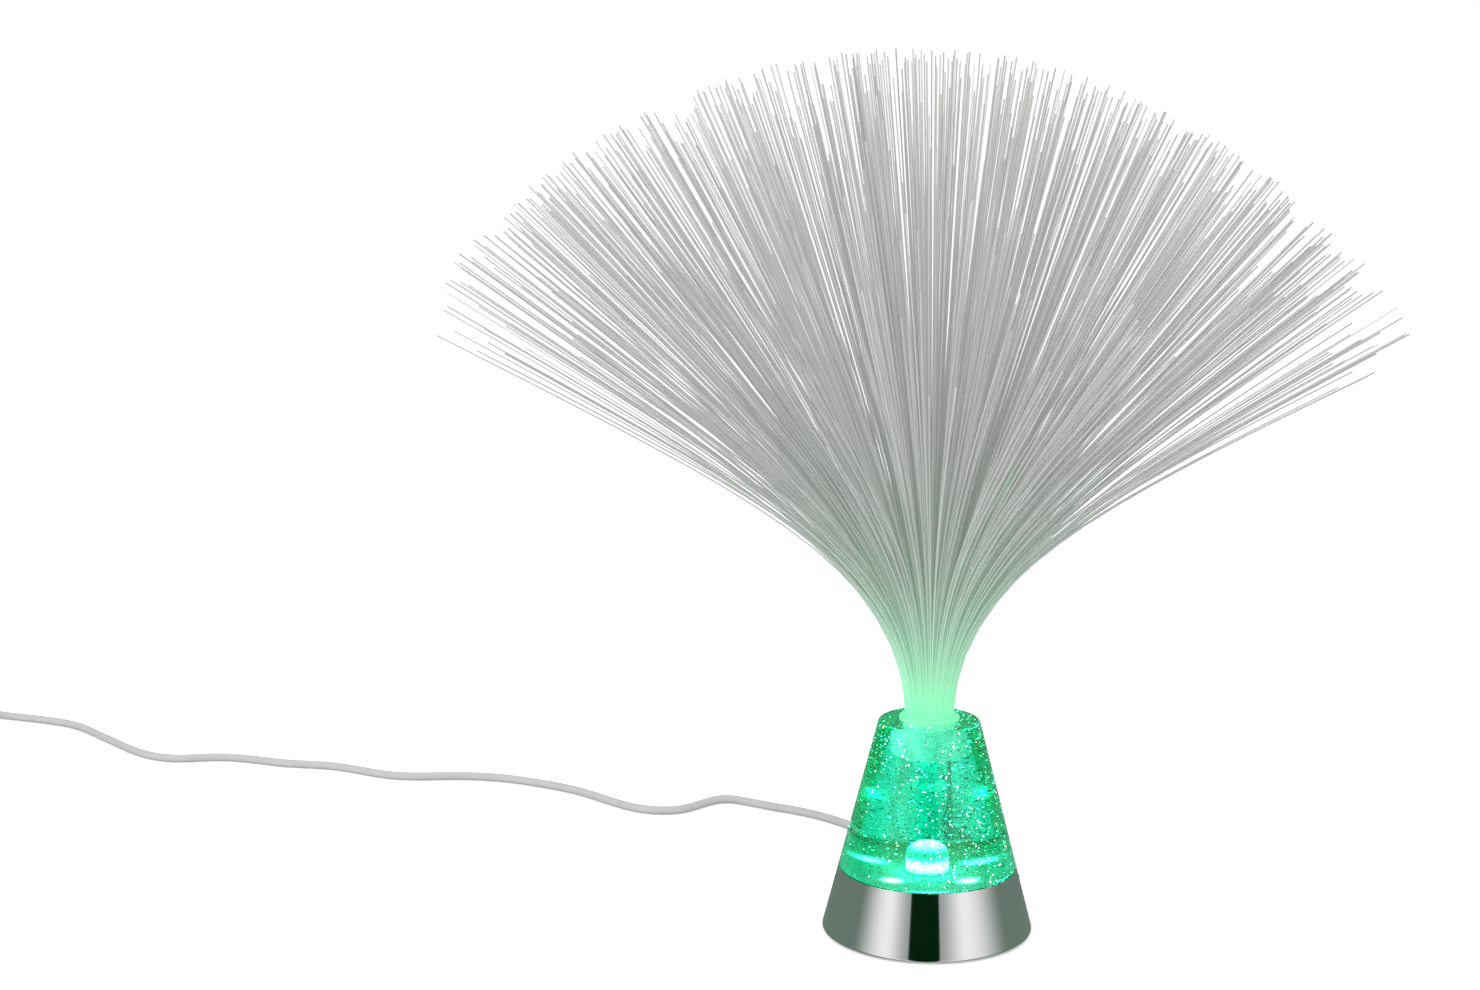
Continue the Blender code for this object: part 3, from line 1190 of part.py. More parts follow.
def plug_shell(finish, parent) -> None:
    """Metal shell of the plug, open at its end, with its four square holes."""
    body = bmesh.new()
    half_width, half_height = SHELL_WIDTH / 2, SHELL_HEIGHT / 2
    add_box(body, (-half_width, -GAP - SHELL_LENGTH, -half_height), (half_width, -GAP, half_height))
    shell = mesh_object("plug_shell", body, finish, parent)
    shell.location = plug_front()
    hollow = bmesh.new()
    low = (-half_width + SHELL_WALL, -SHELL_LENGTH - OVERRUN, -half_height + SHELL_WALL)
    add_box(hollow, low, (half_width - SHELL_WALL, OVERRUN, half_height - SHELL_WALL))
    bore = mesh_object("shell_bore", hollow, cutter=True)
    bore.parent = shell
    boolean(shell, bore, "DIFFERENCE")
    holes = bmesh.new()
    for side in (-1, 1):
        at = side * SHELL_HOLE_SPACING / 2
        middle = -SHELL_LENGTH + SHELL_HOLE_PLACE
        half = SHELL_HOLE_WIDTH / 2
        add_box(holes, (at - half, middle - half, -SHELL_HEIGHT), (at + half, middle + half, SHELL_HEIGHT))
    cut = mesh_object("shell_holes", holes, cutter=True)
    cut.parent = shell
    boolean(shell, cut, "DIFFERENCE")


def plug_tongue(finish, parent) -> None:
    """Plastic tongue with a contact groove pattern inside the shell."""
    bm = bmesh.new()
    half = SHELL_WIDTH / 2 - SHELL_WALL - GAP
    floor = -SHELL_HEIGHT / 2 + SHELL_WALL + GAP
    low = (-half, -SHELL_LENGTH + TONGUE_SHORTFALL, floor)
    add_box(bm, low, (half, -GAP, floor + TONGUE_HEIGHT))
    tongue = mesh_object("plug_tongue", bm, finish, parent)
    tongue.location = plug_front()


# Light fibres


def bundle_collar(finish, parent) -> None:
    """Clear collar round the fibres, resting on the cone's top."""
    bore = BUNDLE_RADIUS + GAP
    top = COLLAR_BOTTOM + COLLAR_THICK
    corner = (COLLAR_RADIUS - COLLAR_EDGE_RADIUS, top - COLLAR_EDGE_RADIUS)
    profile = [
        (bore, top), *reversed(arc(corner, COLLAR_EDGE_RADIUS, 0, 90, 3)),
        (COLLAR_RADIUS, COLLAR_BOTTOM), (bore, COLLAR_BOTTOM),
    ]
    turned("bundle_collar", profile, INNER_STEPS, finish, parent)


def fibre_bend(distance: float) -> float:
    """Share of a fibre's final tilt that it has reached at a distance from its root."""
    return 1 - math.exp(-((distance / FIBRE_BEND_LENGTH) ** FIBRE_BEND_POWER))


def fibre_places(tilt: float, length: float, shares: tuple) -> list:
    """Outward and upward travel and the tilt of a fibre, in radians, at shares of its length."""
    step = length / FIBRE_STEPS
    outward = upward = 0.0
    line = [(0.0, 0.0)]
    for i in range(FIBRE_STEPS):
        lean = math.radians(tilt) * fibre_bend((i + 0.5) * step)
        outward += math.sin(lean) * step
        upward += math.cos(lean) * step
        line.append((outward, upward))
    places = []
    for share in shares:
        spot = line[round(share * FIBRE_STEPS)]
        places.append((*spot, math.radians(tilt) * fibre_bend(share * length)))
    return places


def sector_lattice(bm: bmesh.types.BMesh, sector: int) -> dict:
    """Lay a triangular lattice over one sector of the bundle's end and say each vertex's row.

    A triangle is subdivided evenly, then each of its rows is bent into an arc.
    """
    made = bmesh.ops.create_circle(bm, cap_ends=True, segments=3, radius=1)
    apex, left, right = (vertex.co.copy() for vertex in made["verts"])
    cuts = FIBRE_ROWS - 1
    bmesh.ops.subdivide_edges(bm, edges=bm.edges[:], cuts=cuts, use_grid_fill=True)
    bmesh.ops.triangulate(bm, faces=bm.faces[:])
    side_a, side_b = left - apex, right - apex
    basis = Matrix(((side_a.x, side_b.x), (side_a.y, side_b.y))).inverted()
    rows = {}
    middle = (sector + 0.5) * TURN / SECTORS
    shift = Vector((math.cos(middle), math.sin(middle), 0)) * GAP
    for vertex in bm.verts:
        along_a, along_b = basis @ (vertex.co - apex).to_2d()
        row = round((along_a + along_b) * FIBRE_ROWS)
        place_in_row = along_b / (along_a + along_b) if row else 0.5
        angle = (sector + place_in_row) * TURN / SECTORS
        radius = (BUNDLE_RADIUS - GAP) * row / FIBRE_ROWS
        vertex.co = Vector((radius * math.cos(angle), radius * math.sin(angle), FIBRE_ROOT)) + shift
        rows[vertex.index] = row
    return rows


def lock_middles() -> list:
    """Middles of the locks, spread at random over the bundle's end."""
    dice = random.Random(LOCK_SEED)
    return [
        Vector(on_circle(BUNDLE_RADIUS * math.sqrt(dice.random()), 360 * dice.random())) for _ in range(LOCKS)
    ]


def lean_of(root: Vector, middles: list) -> Vector:
    """Where in the bundle a fibre would stand to point straight out: its root, drawn to its lock's middle."""
    flat = root.to_2d()
    nearest = min(middles, key=lambda middle: (middle - flat).length)
    pull_rise = LOCK_EDGE_PULL_SHARE - LOCK_CENTRE_PULL_SHARE
    return flat.lerp(nearest, LOCK_CENTRE_PULL_SHARE + pull_rise * flat.length / BUNDLE_RADIUS)


def fibre_tilt(lean: Vector, outer_row: bool) -> float:
    """Tilt of a fibre's tip in degrees; the outermost row leans all the way."""
    full = (BUNDLE_RADIUS - GAP) * (FIBRE_ROWS - ROOT_MIDDLE_SHARE) / FIBRE_ROWS
    share = 1 if outer_row else min(1, lean.length / full)
    return FIBRE_EVEN_TILT * share + FIBRE_EDGE_TILT * share**FIBRE_EDGE_POWER


def grow_fibres(bm: bmesh.types.BMesh, faces: list, row: int, shares: tuple, dice: random.Random) -> None:
    """Extrude each root triangle of a row along its fibre's bent path."""
    tips = []
    middles = lock_middles()
    outer_row = row == FIBRE_ROWS
    for face in faces:
        root = face.calc_center_median()
        lean = lean_of(root, middles)
        tilt = fibre_tilt(lean, outer_row)
        swing = math.atan2(lean.y, lean.x)
        length = FIBRE_LENGTH
        jitters = [dice.uniform(-1, 1) for _ in range(3)]
        if not outer_row:
            tilt += FIBRE_TILT_JITTER * jitters[0]
            spread = max(math.sin(math.radians(tilt)), LEAST_SPREAD_SHARE)
            swing += math.radians(FIBRE_SWING_JITTER * jitters[1]) / spread
            length *= 1 - FIBRE_LENGTH_JITTER_SHARE * abs(jitters[2])
        out = Vector((math.cos(swing), math.sin(swing), 0))
        side = Vector((-math.sin(swing), math.cos(swing), 0))
        turns = []
        for vertex in face.verts:
            offset = vertex.co - root
            inward = offset.dot(out) < 0 and abs(offset.dot(side)) < abs(offset.dot(out))
            turns.append(math.pi if inward else math.copysign(TURN / 6, offset.dot(side)))
        tips.append([face, root, out, side, turns, fibre_places(tilt, length, shares)])
    for stop in range(len(shares)):
        grown = bmesh.ops.extrude_discrete_faces(bm, faces=[tip[0] for tip in tips])["faces"]
        for tip, face in zip(tips, grown):
            _, root, out, side, turns, places = tip
            outward, upward, lean = places[stop]
            centre = root + out * outward + Vector((0, 0, upward))
            across = out * math.cos(lean) - Vector((0, 0, math.sin(lean)))
            for vertex, turn in zip(face.verts, turns):
                vertex.co = centre + (across * math.cos(turn) + side * math.sin(turn)) * FIBRE_RADIUS
            tip[0] = face


def fibre_tuft(sector: int, finish, parent) -> None:
    """One sector of the bundle: its fused foot in the socket and its fibres."""
    bm = bmesh.new()
    rows = sector_lattice(bm, sector)
    top = bm.faces[:]
    row_of = {face: max(rows[v.index] for v in face.verts) for face in top}
    points_out = {face: [rows[v.index] for v in face.verts].count(row_of[face]) == 2 for face in top}
    roots = {row: [f for f in top if points_out[f] and row_of[f] == row] for row in range(1, FIBRE_ROWS + 1)}
    add_tuft_foot(bm, top)
    dice = random.Random(FIBRE_SEED + sector)
    for row in range(1, FIBRE_ROWS + 1):
        shares = next(shares for last, shares in FIBRE_STOP_SHARES if row <= last)
        grow_fibres(bm, roots[row], row, shares, dice)
    mesh_object(f"fibre_tuft_{sector + 1}", bm, finish, parent)


def add_tuft_foot(bm: bmesh.types.BMesh, top: list) -> None:
    """Close the lattice with the fused foot of the tuft, down into the socket."""
    rim = [edge for edge in bm.edges if edge.is_boundary]
    grown = bmesh.ops.extrude_edge_only(bm, edges=rim)["geom"]
    low = [item for item in grown if isinstance(item, bmesh.types.BMVert)]
    for vertex in low:
        vertex.co.z = SOCKET_FLOOR + GAP
    bottom_rim = [item for item in grown if isinstance(item, bmesh.types.BMEdge) and item.is_boundary]
    bmesh.ops.contextual_create(bm, geom=bottom_rim)


def build() -> None:
    """Build the whole lamp."""
    clear_scene()
    make_collection(COLLECTION_NAME)
    make_collection(CUTTER_COLLECTION_NAME)
    chrome = material("chrome_plating", (0.62, 0.62, 0.62), 0.08, 1.0)
    clear = material("clear_acrylic", (0.10, 0.85, 0.50), 0.05, 0.0, 0.5)
    white = material("white_polystyrene", (0.85, 0.86, 0.85), 0.5)
    green = material("circuit_board", (0.05, 0.25, 0.12), 0.5)
    lens = material("led_epoxy", (0.75, 1.00, 0.90), 0.1)
    black = material("black_plastic", (0.02, 0.02, 0.02), 0.4)
    abs_grey = material("dark_abs", (0.06, 0.06, 0.065), 0.5)
    rubber = material("foot_rubber", (0.03, 0.03, 0.03), 0.8)
    steel = material("zinc_steel", (0.55, 0.55, 0.56), 0.3, 1.0)
    can = material("capacitor_sleeve", (0.02, 0.03, 0.08), 0.3)
    cord = material("grey_pvc", (0.56, 0.55, 0.56), 0.4)
    red = material("red_wire", (0.50, 0.02, 0.02), 0.4)
    fibre = material("light_fibre", (0.45, 0.70, 0.55), 0.2, 0.0, 0.9)
    collar = material("clear_collar", (0.35, 0.90, 0.62), 0.15, 0.0, 0.7)

    lamp = empty("lamp_axis", (0, 0, 0))
    base_ring(chrome, lamp)
    clear_cone(clear, lamp)
    reflector_plate(white, lamp)
    led_board(green, lamp)
    centre_led(lens, lamp)
    side_leds(lens, lamp)
    controller_chip(black, lamp)
    capacitor(can, lamp)
    resistors(black, lamp)
    base_cover(abs_grey, lamp)
    feet(rubber, lamp)
    screws(steel, lamp)
    switch_housing(black, lamp)
    rest = SWITCH_PLACE[0] - SWITCH_TRAVEL / 2
    slide = empty("switch_slide_axis", (rest, SWITCH_PLACE[1], COVER_TOP + GAP), lamp)
    switch_knob(white, slide)
    cord_gland(cord, lamp)
    inner_lead(cord, red, black, lamp)
    switch_wires(black, lamp)
    clamp_bar(white, lamp)
    free_lead(cord, lamp)
    coil_tie(black, lamp)
    plug_grip(cord, lamp)
    plug_shell(steel, lamp)
    plug_tongue(white, lamp)
    lift = empty("fibre_lift_axis", (0, 0, 0), lamp)
    bundle_collar(collar, lift)
    for sector in range(SECTORS):
        fibre_tuft(sector, fibre, lift)


build()
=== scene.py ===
"""Looks of the fibre optic table lamp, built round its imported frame.

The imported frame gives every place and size. Each class below is one sub-assembly of the lamp: its
sizes are fields, and its methods build the meshes and dress them. Lengths are in metres, +Z is up,
and the camera side is -Y.
"""

from __future__ import annotations

import fnmatch
import logging
import math
import random
from dataclasses import dataclass, field
from enum import Enum
from functools import cache

import bmesh
import bpy
import numpy as np
from mathutils import Matrix, Vector

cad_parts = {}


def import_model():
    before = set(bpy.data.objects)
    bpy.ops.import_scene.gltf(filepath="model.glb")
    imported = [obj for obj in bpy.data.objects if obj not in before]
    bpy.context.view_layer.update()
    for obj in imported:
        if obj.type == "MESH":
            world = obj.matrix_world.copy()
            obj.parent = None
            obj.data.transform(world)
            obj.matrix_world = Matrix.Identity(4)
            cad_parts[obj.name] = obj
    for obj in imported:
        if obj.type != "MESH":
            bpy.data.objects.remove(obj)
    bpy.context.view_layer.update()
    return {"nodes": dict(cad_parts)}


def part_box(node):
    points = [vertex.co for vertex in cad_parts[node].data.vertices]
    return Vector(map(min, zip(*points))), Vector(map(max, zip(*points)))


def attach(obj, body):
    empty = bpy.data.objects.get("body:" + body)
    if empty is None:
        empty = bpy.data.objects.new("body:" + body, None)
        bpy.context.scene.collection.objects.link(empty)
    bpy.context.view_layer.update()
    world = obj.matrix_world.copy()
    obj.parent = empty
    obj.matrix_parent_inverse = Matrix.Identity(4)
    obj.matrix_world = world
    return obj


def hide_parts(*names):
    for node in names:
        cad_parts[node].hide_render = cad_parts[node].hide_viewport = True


LOG = logging.getLogger("fibre_lamp")
MM = 0.001
TURN = 2 * math.pi
GAP = 0.3 * MM  # clearance between pieces that rest on or fit round each other
ACRYLIC_IOR = 1.49
SHARP_ABOVE = 35  # degrees between two faces from which their edge stays sharp
MERGED = 0.001 * MM  # distance below which two points of an outline are one

# Short names for type hints
BMesh = bmesh.types.BMesh
Material = bpy.types.Material
Node = bpy.types.Node
Object = bpy.types.Object
Socket = bpy.types.NodeSocket
Tree = bpy.types.NodeTree
Spot = tuple[float, float]  # radius and height
Corner = tuple[float, float, float]  # radius, height and rounding


class Body(Enum):
    """The frame's bodies that pieces ride on."""

    BASE = "lamp_base"
    HEAD = "fibre_head"


class FlakeTone(Enum):
    """Colours of the glitter's flakes, as sRGB hex: silver, rose and gold film, and SHADE, a painted shade
    for flakes that face away from the light.
    """

    SILVER = "#f4f7f6"
    ROSE = "#f6b9a6"
    GOLD = "#e8c877"
    # painted shade: a dark green that stands in for flakes that face away from the light
    SHADE = "#0b3d26"


# Small tools


def linear(hex_colour: str) -> tuple[float, float, float, float]:
    """Turn an sRGB hex colour into linear values.

    Args:
        hex_colour: Colour such as "#8090a0".

    Returns:
        Red, green, blue and an alpha of one.
    """
    channels = [int(hex_colour[i : i + 2], 16) / 255 for i in (1, 3, 5)]
    straight = [c / 12.92 if c <= 0.04045 else ((c + 0.055) / 1.055) ** 2.4 for c in channels]
    return (*straight, 1.0)


def add_node(tree: Tree, kind: str, inputs: dict | None = None, **settings) -> Node:
    """Add a node, set its properties and fill or link its sockets.

    Args:
        tree: Node tree that gets the node.
        kind: Blender's name of the node type.
        inputs: Socket name or number to a plain value, or to the output socket that feeds it.
        settings: Properties of the node.

    Returns:
        The new node.
    """
    node = tree.nodes.new(kind)
    for name, value in settings.items():
        setattr(node, name, value)
    for socket, value in (inputs or {}).items():
        if isinstance(value, Socket):
            tree.links.new(value, node.inputs[socket])
        else:
            node.inputs[socket].default_value = value
    return node


def feed(shader: Node, **sockets: Socket) -> None:
    """Link sockets to a shader's inputs, whose names are written with _ for a space."""
    for name, socket in sockets.items():
        shader.id_data.links.new(socket, shader.inputs[name.replace("_", " ")])


def ranged(tree: Tree, value: Socket, low: float, high: float, clamp: bool = True) -> Socket:
    """Stretch a value from 0..1 to low..high."""
    inputs = {"Value": value, "To Min": low, "To Max": high}
    return add_node(tree, "ShaderNodeMapRange", inputs, clamp=clamp).outputs["Result"]


def calculated(
    tree: Tree, operation: str, first: Socket, second: Socket | float, clamp: bool = False
) -> Socket:
    """Combine two values by one of Blender's math operations."""
    node = add_node(tree, "ShaderNodeMath", {0: first, 1: second}, operation=operation, use_clamp=clamp)
    return node.outputs["Value"]


def mixed(tree: Tree, share: Socket, first: Socket | tuple, second: Socket | tuple) -> Socket:
    """Mix two colours by a share from 0 to 1."""
    inputs = {"Factor": share, "A": first, "B": second}
    return add_node(tree, "ShaderNodeMix", inputs, data_type="RGBA").outputs["Result"]


def attribute(tree: Tree, name: str, output: str = "Fac") -> Socket:
    """Read a value that the mesh's vertices carry."""
    return add_node(tree, "ShaderNodeAttribute", attribute_name=name).outputs[output]


def ramped(
    tree: Tree, value: Socket, stops: list[tuple[float, str]], interpolation: str = "LINEAR"
) -> Socket:
    """Turn a value into a colour.

    Args:
        tree: Node tree.
        value: Output socket with values from 0 to 1.
        stops: Position from 0 to 1 and sRGB hex colour of each stop.
        interpolation: How the ramp goes from stop to stop.

    Returns:
        The colour.
    """
    node = add_node(tree, "ShaderNodeValToRGB", {"Fac": value})
    node.color_ramp.interpolation = interpolation
    elements = node.color_ramp.elements
    while len(elements) < len(stops):
        elements.new(1.0)
    for element, (position, colour) in zip(elements, stops):
        element.position = position
        element.color = linear(colour)
    return node.outputs["Color"]


def rounded_outline(corners: list[Corner], steps: int = 5) -> list[Spot]:
    """Round the inner corners of an open outline.

    Args:
        corners: Radius from the axis, height and rounding radius of each corner.
        steps: Points on each rounded corner.

    Returns:
        Radius and height of each point.
    """
    outline = [corners[0][:2]]
    for before, corner, after in zip(corners, corners[1:], corners[2:]):
        here = Vector(corner[:2])
        to_before = (Vector(before[:2]) - here).normalized()
        to_after = (Vector(after[:2]) - here).normalized()
        half = to_before.angle(to_after) / 2
        if corner[2] == 0 or half > TURN / 4 - 0.02:
            outline.append(tuple(here))
            continue
        centre = here + (to_before + to_after).normalized() * corner[2] / math.sin(half)
        reach = corner[2] / math.tan(half)
        start = here + to_before * reach - centre
        end = here + to_after * reach - centre
        sweep = start.angle_signed(end)
        for i in range(steps):
            outline.append(tuple(centre + Matrix.Rotation(-sweep * i / (steps - 1), 2) @ start))
    outline.append(corners[-1][:2])
    return outline


def turned(name: str, outline: list[Spot], steps: int, ends_meet: bool = False) -> Object:
    """Turn an outline round the lamp's axis.

    Args:
        name: Name of the object.
        outline: Radius and height of each point, down the outer side from top to bottom.
        steps: Faces round the axis.
        ends_meet: Join the last point to the first, for a ring.

    Returns:
        The new object, closed and shaded smooth.
    """
    apart = outline[:1]
    for spot in outline[1:]:
        if math.dist(spot, apart[-1]) > MERGED:
            apart.append(spot)
    bm = bmesh.new()
    rings = []
    for radius, height in apart:
        spots = [on_circle(radius, 360 * i / steps) for i in range(steps if radius > MERGED else 1)]
        rings.append([bm.verts.new((*spot, height)) for spot in spots])
    pairs = list(zip(rings, rings[1:]))
    if ends_meet:
        pairs.append((rings[-1], rings[0]))
    for ring, after in pairs:
        for i in range(steps):
            here, ahead = ring[i % len(ring)], ring[(i + 1) % len(ring)]
            there, across = after[(i + 1) % len(after)], after[i % len(after)]
            bm.faces.new(list(dict.fromkeys((here, ahead, there, across))))
    return finished(name, bm)


def finished(name: str, bm: BMesh, sharp_above: float = SHARP_ABOVE) -> Object:
    """Turn a bmesh into an object that is shaded smooth but keeps its edges.

    Args:
        name: Name of the object.
        bm: The bmesh, which is freed.
        sharp_above: Angle in degrees from which an edge stays sharp.

    Returns:
        The new object.
    """
    bmesh.ops.recalc_face_normals(bm, faces=bm.faces)
    mesh = bpy.data.meshes.new(name)
    bm.to_mesh(mesh)
    bm.free()
    mesh.shade_smooth()
    mesh.set_sharp_from_angle(angle=math.radians(sharp_above))
    return linked(bpy.data.objects.new(name, mesh))


def linked(obj: Object) -> Object:
    """Link an object to the scene."""
    bpy.context.scene.collection.objects.link(obj)
    return obj


def frozen(obj: Object) -> Object:
    """Replace an object's mesh by what its modifiers give, and drop the modifiers.

    Args:
        obj: The object.

    Returns:
        The same object.
    """
    graph = bpy.context.evaluated_depsgraph_get()
    mesh = bpy.data.meshes.new_from_object(obj.evaluated_get(graph))
    obj.modifiers.clear()
    obj.data = mesh
    return obj


def boolean(obj: Object, other: Object, operation: str) -> None:
    """Cut or join another object into this one, and remove the other.

    Args:
        obj: The object that stays.
        other: The one that is used up.
        operation: Blender's name of the step.
    """
    step = obj.modifiers.new("boolean", "BOOLEAN")
    step.operation = operation
    step.object = other
    frozen(obj)
    bpy.data.objects.remove(other, do_unlink=True)


def add_box(bm: BMesh, low: tuple, high: tuple) -> list[bmesh.types.BMVert]:
    """Add a box between two corners and return its vertices.

    Args:
        bm: The bmesh.
        low: Lowest corner.
        high: Highest corner.

    Returns:
        The box's vertices.
    """
    size = Vector(high) - Vector(low)
    middle = (Vector(high) + Vector(low)) / 2
    matrix = Matrix.Translation(middle) @ Matrix.Diagonal((*size, 1))
    return bmesh.ops.create_cube(bm, size=1, matrix=matrix)["verts"]


def add_cylinder(bm: BMesh, radius: float, length: float, place: Matrix, sides: int) -> None:
    """Add a closed cylinder whose axis is the place's Z.

    Args:
        bm: The bmesh.
        radius: Its radius.
        length: Its length.
        place: Where its middle goes, and its turn.
        sides: Faces round it.
    """
    bmesh.ops.create_cone(
        bm, cap_ends=True, segments=sides, radius1=radius, radius2=radius, depth=length, matrix=place
    )


def soften(obj: Object, width: float, segments: int) -> Object:
    """Round an object's sharp edges with a bevel.

    Args:
        obj: The object.
        width: Width of the bevel.
        segments: Faces across it.

    Returns:
        The same object.
    """
    rounding = obj.modifiers.new("soft_edges", "BEVEL")
    rounding.width = width
    rounding.segments = segments
    rounding.limit_method = "ANGLE"
    rounding.angle_limit = math.radians(40)
    return frozen(obj)


def eased(share: float) -> float:
    """Go from 0 to 1 with a soft start and a soft end."""
    return share * share * (3 - 2 * share)


def bell(distance: float, width: float) -> float:
    """One at no distance, falling off smoothly over a width."""
    return math.exp(-((distance / width) ** 2))


def on_circle(radius: float, degrees: float) -> tuple[float, float]:
    """A point on a circle round the lamp's axis."""
    return radius * math.cos(math.radians(degrees)), radius * math.sin(math.radians(degrees))


def fitted(obj: Object, finish: Finish, body: Body, slot: str, *nodes: str) -> None:
    """Dress a new piece, let it ride and let it stand for the frame's nodes.

    Args:
        obj: The piece, in its place.
        finish: Its finish, for where it has no material yet.
        body: Body that it rides on.
        slot: Name of a material slot; not used.
        nodes: Nodes of the frame that it replaces.
    """
    if not obj.data.materials:
        obj.data.materials.append(finish.material())
    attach(obj, body.value)
    if nodes:
        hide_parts(*nodes)
    LOG.info("piece %s on %s for %s", obj.name, body.value, ", ".join(nodes) or "itself")


def middle_of(node: str) -> Vector:
    """Middle of a node's box in the frame."""
    low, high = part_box(node)
    return (low + high) / 2


# Finishes


@dataclass(frozen=True)
class Finish:
    """A surface: plain values for the shader, and a pattern that each kind adds."""

    name: str
    colour: str = "#808080"
    roughness: float = 0.5
    metallic: float = 0.0
    ior: float = 1.5
    bump: float = 0.4  # share of a relief's depth that shows
    gloss_span: tuple[float, float] = (1.0, 1.0)  # shares of the roughness between which it varies

    def values(self) -> dict:
        """Values that stay the same all over the surface."""
        return {
            "Base Color": linear(self.colour),
            "Roughness": self.roughness,
            "Metallic": self.metallic,
            "IOR": self.ior,
        }

    def pattern(self, tree: Tree, shader: Node) -> None:
        """Add what varies over the surface; a plain finish has nothing.

        Args:
            tree: The material's nodes.
            shader: Its shader node.
        """

    def emboss(self, tree: Tree, shader: Node, height: Socket, depth: float) -> None:
        """Bend the shader's normal by a height from 0 to 1, whose real depth is given."""
        inputs = {"Height": height, "Distance": depth, "Strength": self.bump}
        feed(shader, Normal=add_node(tree, "ShaderNodeBump", inputs).outputs["Normal"])

    def vary_gloss(self, tree: Tree, shader: Node, value: Socket) -> None:
        """Vary the roughness by a value from 0 to 1."""
        low, high = (min(self.roughness * share, 1) for share in self.gloss_span)
        feed(shader, Roughness=ranged(tree, value, low, high))

    @cache
    def material(self) -> Material:
        """Build the material, once for equal finishes."""
        made = bpy.data.materials.new(self.name)
        made.use_nodes = True
        tree = made.node_tree
        shader = tree.nodes["Principled BSDF"]
        for socket, value in self.values().items():
            shader.inputs[socket].default_value = value
        self.pattern(tree, shader)
        return made


def surface_noise(tree: Tree, size: float, detail: float = 2.0, stretch: tuple = (1, 1, 1)) -> Socket:
    """Add a noise in real size on the object's own coordinates.

    Args:
        tree: Node tree.
        size: Width of one patch of the pattern.
        detail: Finer octaves.
        stretch: Share of that size along X, Y and Z.

    Returns:
        The noise, from 0 to 1.
    """
    place = add_node(tree, "ShaderNodeTexCoord").outputs["Object"]
    scale = tuple(1 / (size * share) for share in stretch)
    scaled = add_node(tree, "ShaderNodeMapping", {"Vector": place, "Scale": scale}).outputs["Vector"]
    noise = add_node(tree, "ShaderNodeTexNoise", {"Vector": scaled, "Scale": 1.0, "Detail": detail})
    return noise.outputs["Fac"]


@dataclass(frozen=True)
class ChromePlate(Finish):
    """Chrome plated metal, polished: a mirror with a faint waviness from the polishing wheel."""

    name: str = "chrome_plate"
    colour: str = "#e6e6e7"
    roughness: float = 0.06
    metallic: float = 1.0
    bump: float = 0.35
    gloss_span: tuple[float, float] = (0.7, 1.5)
    wave: float = 9 * MM
    wave_depth: float = 0.02 * MM
    haze: float = 2.5 * MM

    def pattern(self, tree: Tree, shader: Node) -> None:
        """Bend the reflections a little and dull them in faint patches, as handled chrome is."""
        self.emboss(tree, shader, surface_noise(tree, self.wave, 1.0), self.wave_depth)
        self.vary_gloss(tree, shader, surface_noise(tree, self.haze, 3.0))


@dataclass(frozen=True)
class CastAcrylic(Finish):
    """Cast acrylic, polished: a clear block that the light inside it turns green."""

    name: str = "cast_acrylic"
    colour: str = "#ffffff"
    roughness: float = 0.02
    ior: float = ACRYLIC_IOR
    bump: float = 0.25
    # painted green glow, standing in for the LEDs' light scattered in the block
    glow: str = "#00b67a"
    glow_strength: float = 0.12
    absorbed: tuple[float, float, float] = (84.0, 5.0, 14.0)  # red, green and blue, per metre
    flow: float = 7 * MM
    flow_depth: float = 0.15 * MM
    # painted light streaks: sizes of their upright columns and fine flecks, and the tints from grey green
    # where dim to white where bright
    column: float = 5 * MM
    fleck: float = 0.7 * MM
    light_streak_tints: tuple[tuple[float, str], ...] = ((0.12, "#7fae9b"), (0.24, "#d6ebe2"), (0.36, "#ffffff"))

    def values(self) -> dict:
        """Glass that passes all light, with a faint painted green glow that stands in for the LEDs' light
        scattered in the block.
        """
        glow = {"Emission Color": linear(self.glow), "Emission Strength": self.glow_strength}
        return {**super().values(), "Transmission Weight": 1.0, **glow}

    def pattern(self, tree: Tree, shader: Node) -> None:
        """Add the casting's flow marks, painted light streaks in the colour it passes, and the green of
        the lit block as absorption by depth.
        """
        self.emboss(tree, shader, surface_noise(tree, self.flow, 1.0, (1, 1, 3)), self.flow_depth)
        # painted light streaks: columns times flecks tint the passed light, standing in for the LEDs'
        # light caught in the glitter
        light_streaks = surface_noise(tree, self.column, 1.0, (1, 1, 9))
        flecks = surface_noise(tree, self.fleck, 2.0)
        feed(shader, Base_Color=ramped(tree, calculated(tree, "MULTIPLY", light_streaks, flecks), self.light_streak_tints))
        density = max(self.absorbed)
        passed = tuple(1 - amount / density for amount in self.absorbed)
        inside = add_node(tree, "ShaderNodeVolumeAbsorption", {"Color": (*passed, 1), "Density": density})
        feed(tree.nodes["Material Output"], Volume=inside.outputs["Volume"])


@dataclass(frozen=True)
class SandedAcrylic(Finish):
    """Machined or as-cast faces of the acrylic: matt, so that they scatter the LEDs' light and glow."""

    name: str = "sanded_acrylic"
    colour: str = "#9fd8c0"
    roughness: float = 0.6
    ior: float = ACRYLIC_IOR
    glow: tuple[tuple[float, str], ...] = ((0.0, "#17b478"), (0.30, "#b4f4e6"), (0.6, "#ffffff"))
    faintest: float = 0.25
    hottest: float = 14.0
    falloff: float = 2.4
    grain: float = 1.2 * MM

    def pattern(self, tree: Tree, shader: Node) -> None:
        """Glow by how near the LEDs are: green far from them, white beside them."""
        grain = surface_noise(tree, self.grain, 2.0)
        shown = calculated(tree, "MULTIPLY", attribute(tree, "led_light"), ranged(tree, grain, 0.7, 1.3))
        strength = calculated(tree, "POWER", shown, self.falloff)
        glow = ramped(tree, shown, self.glow)
        feed(shader, Emission_Color=glow)
        feed(shader, Emission_Strength=ranged(tree, strength, self.faintest, self.hottest, clamp=False))


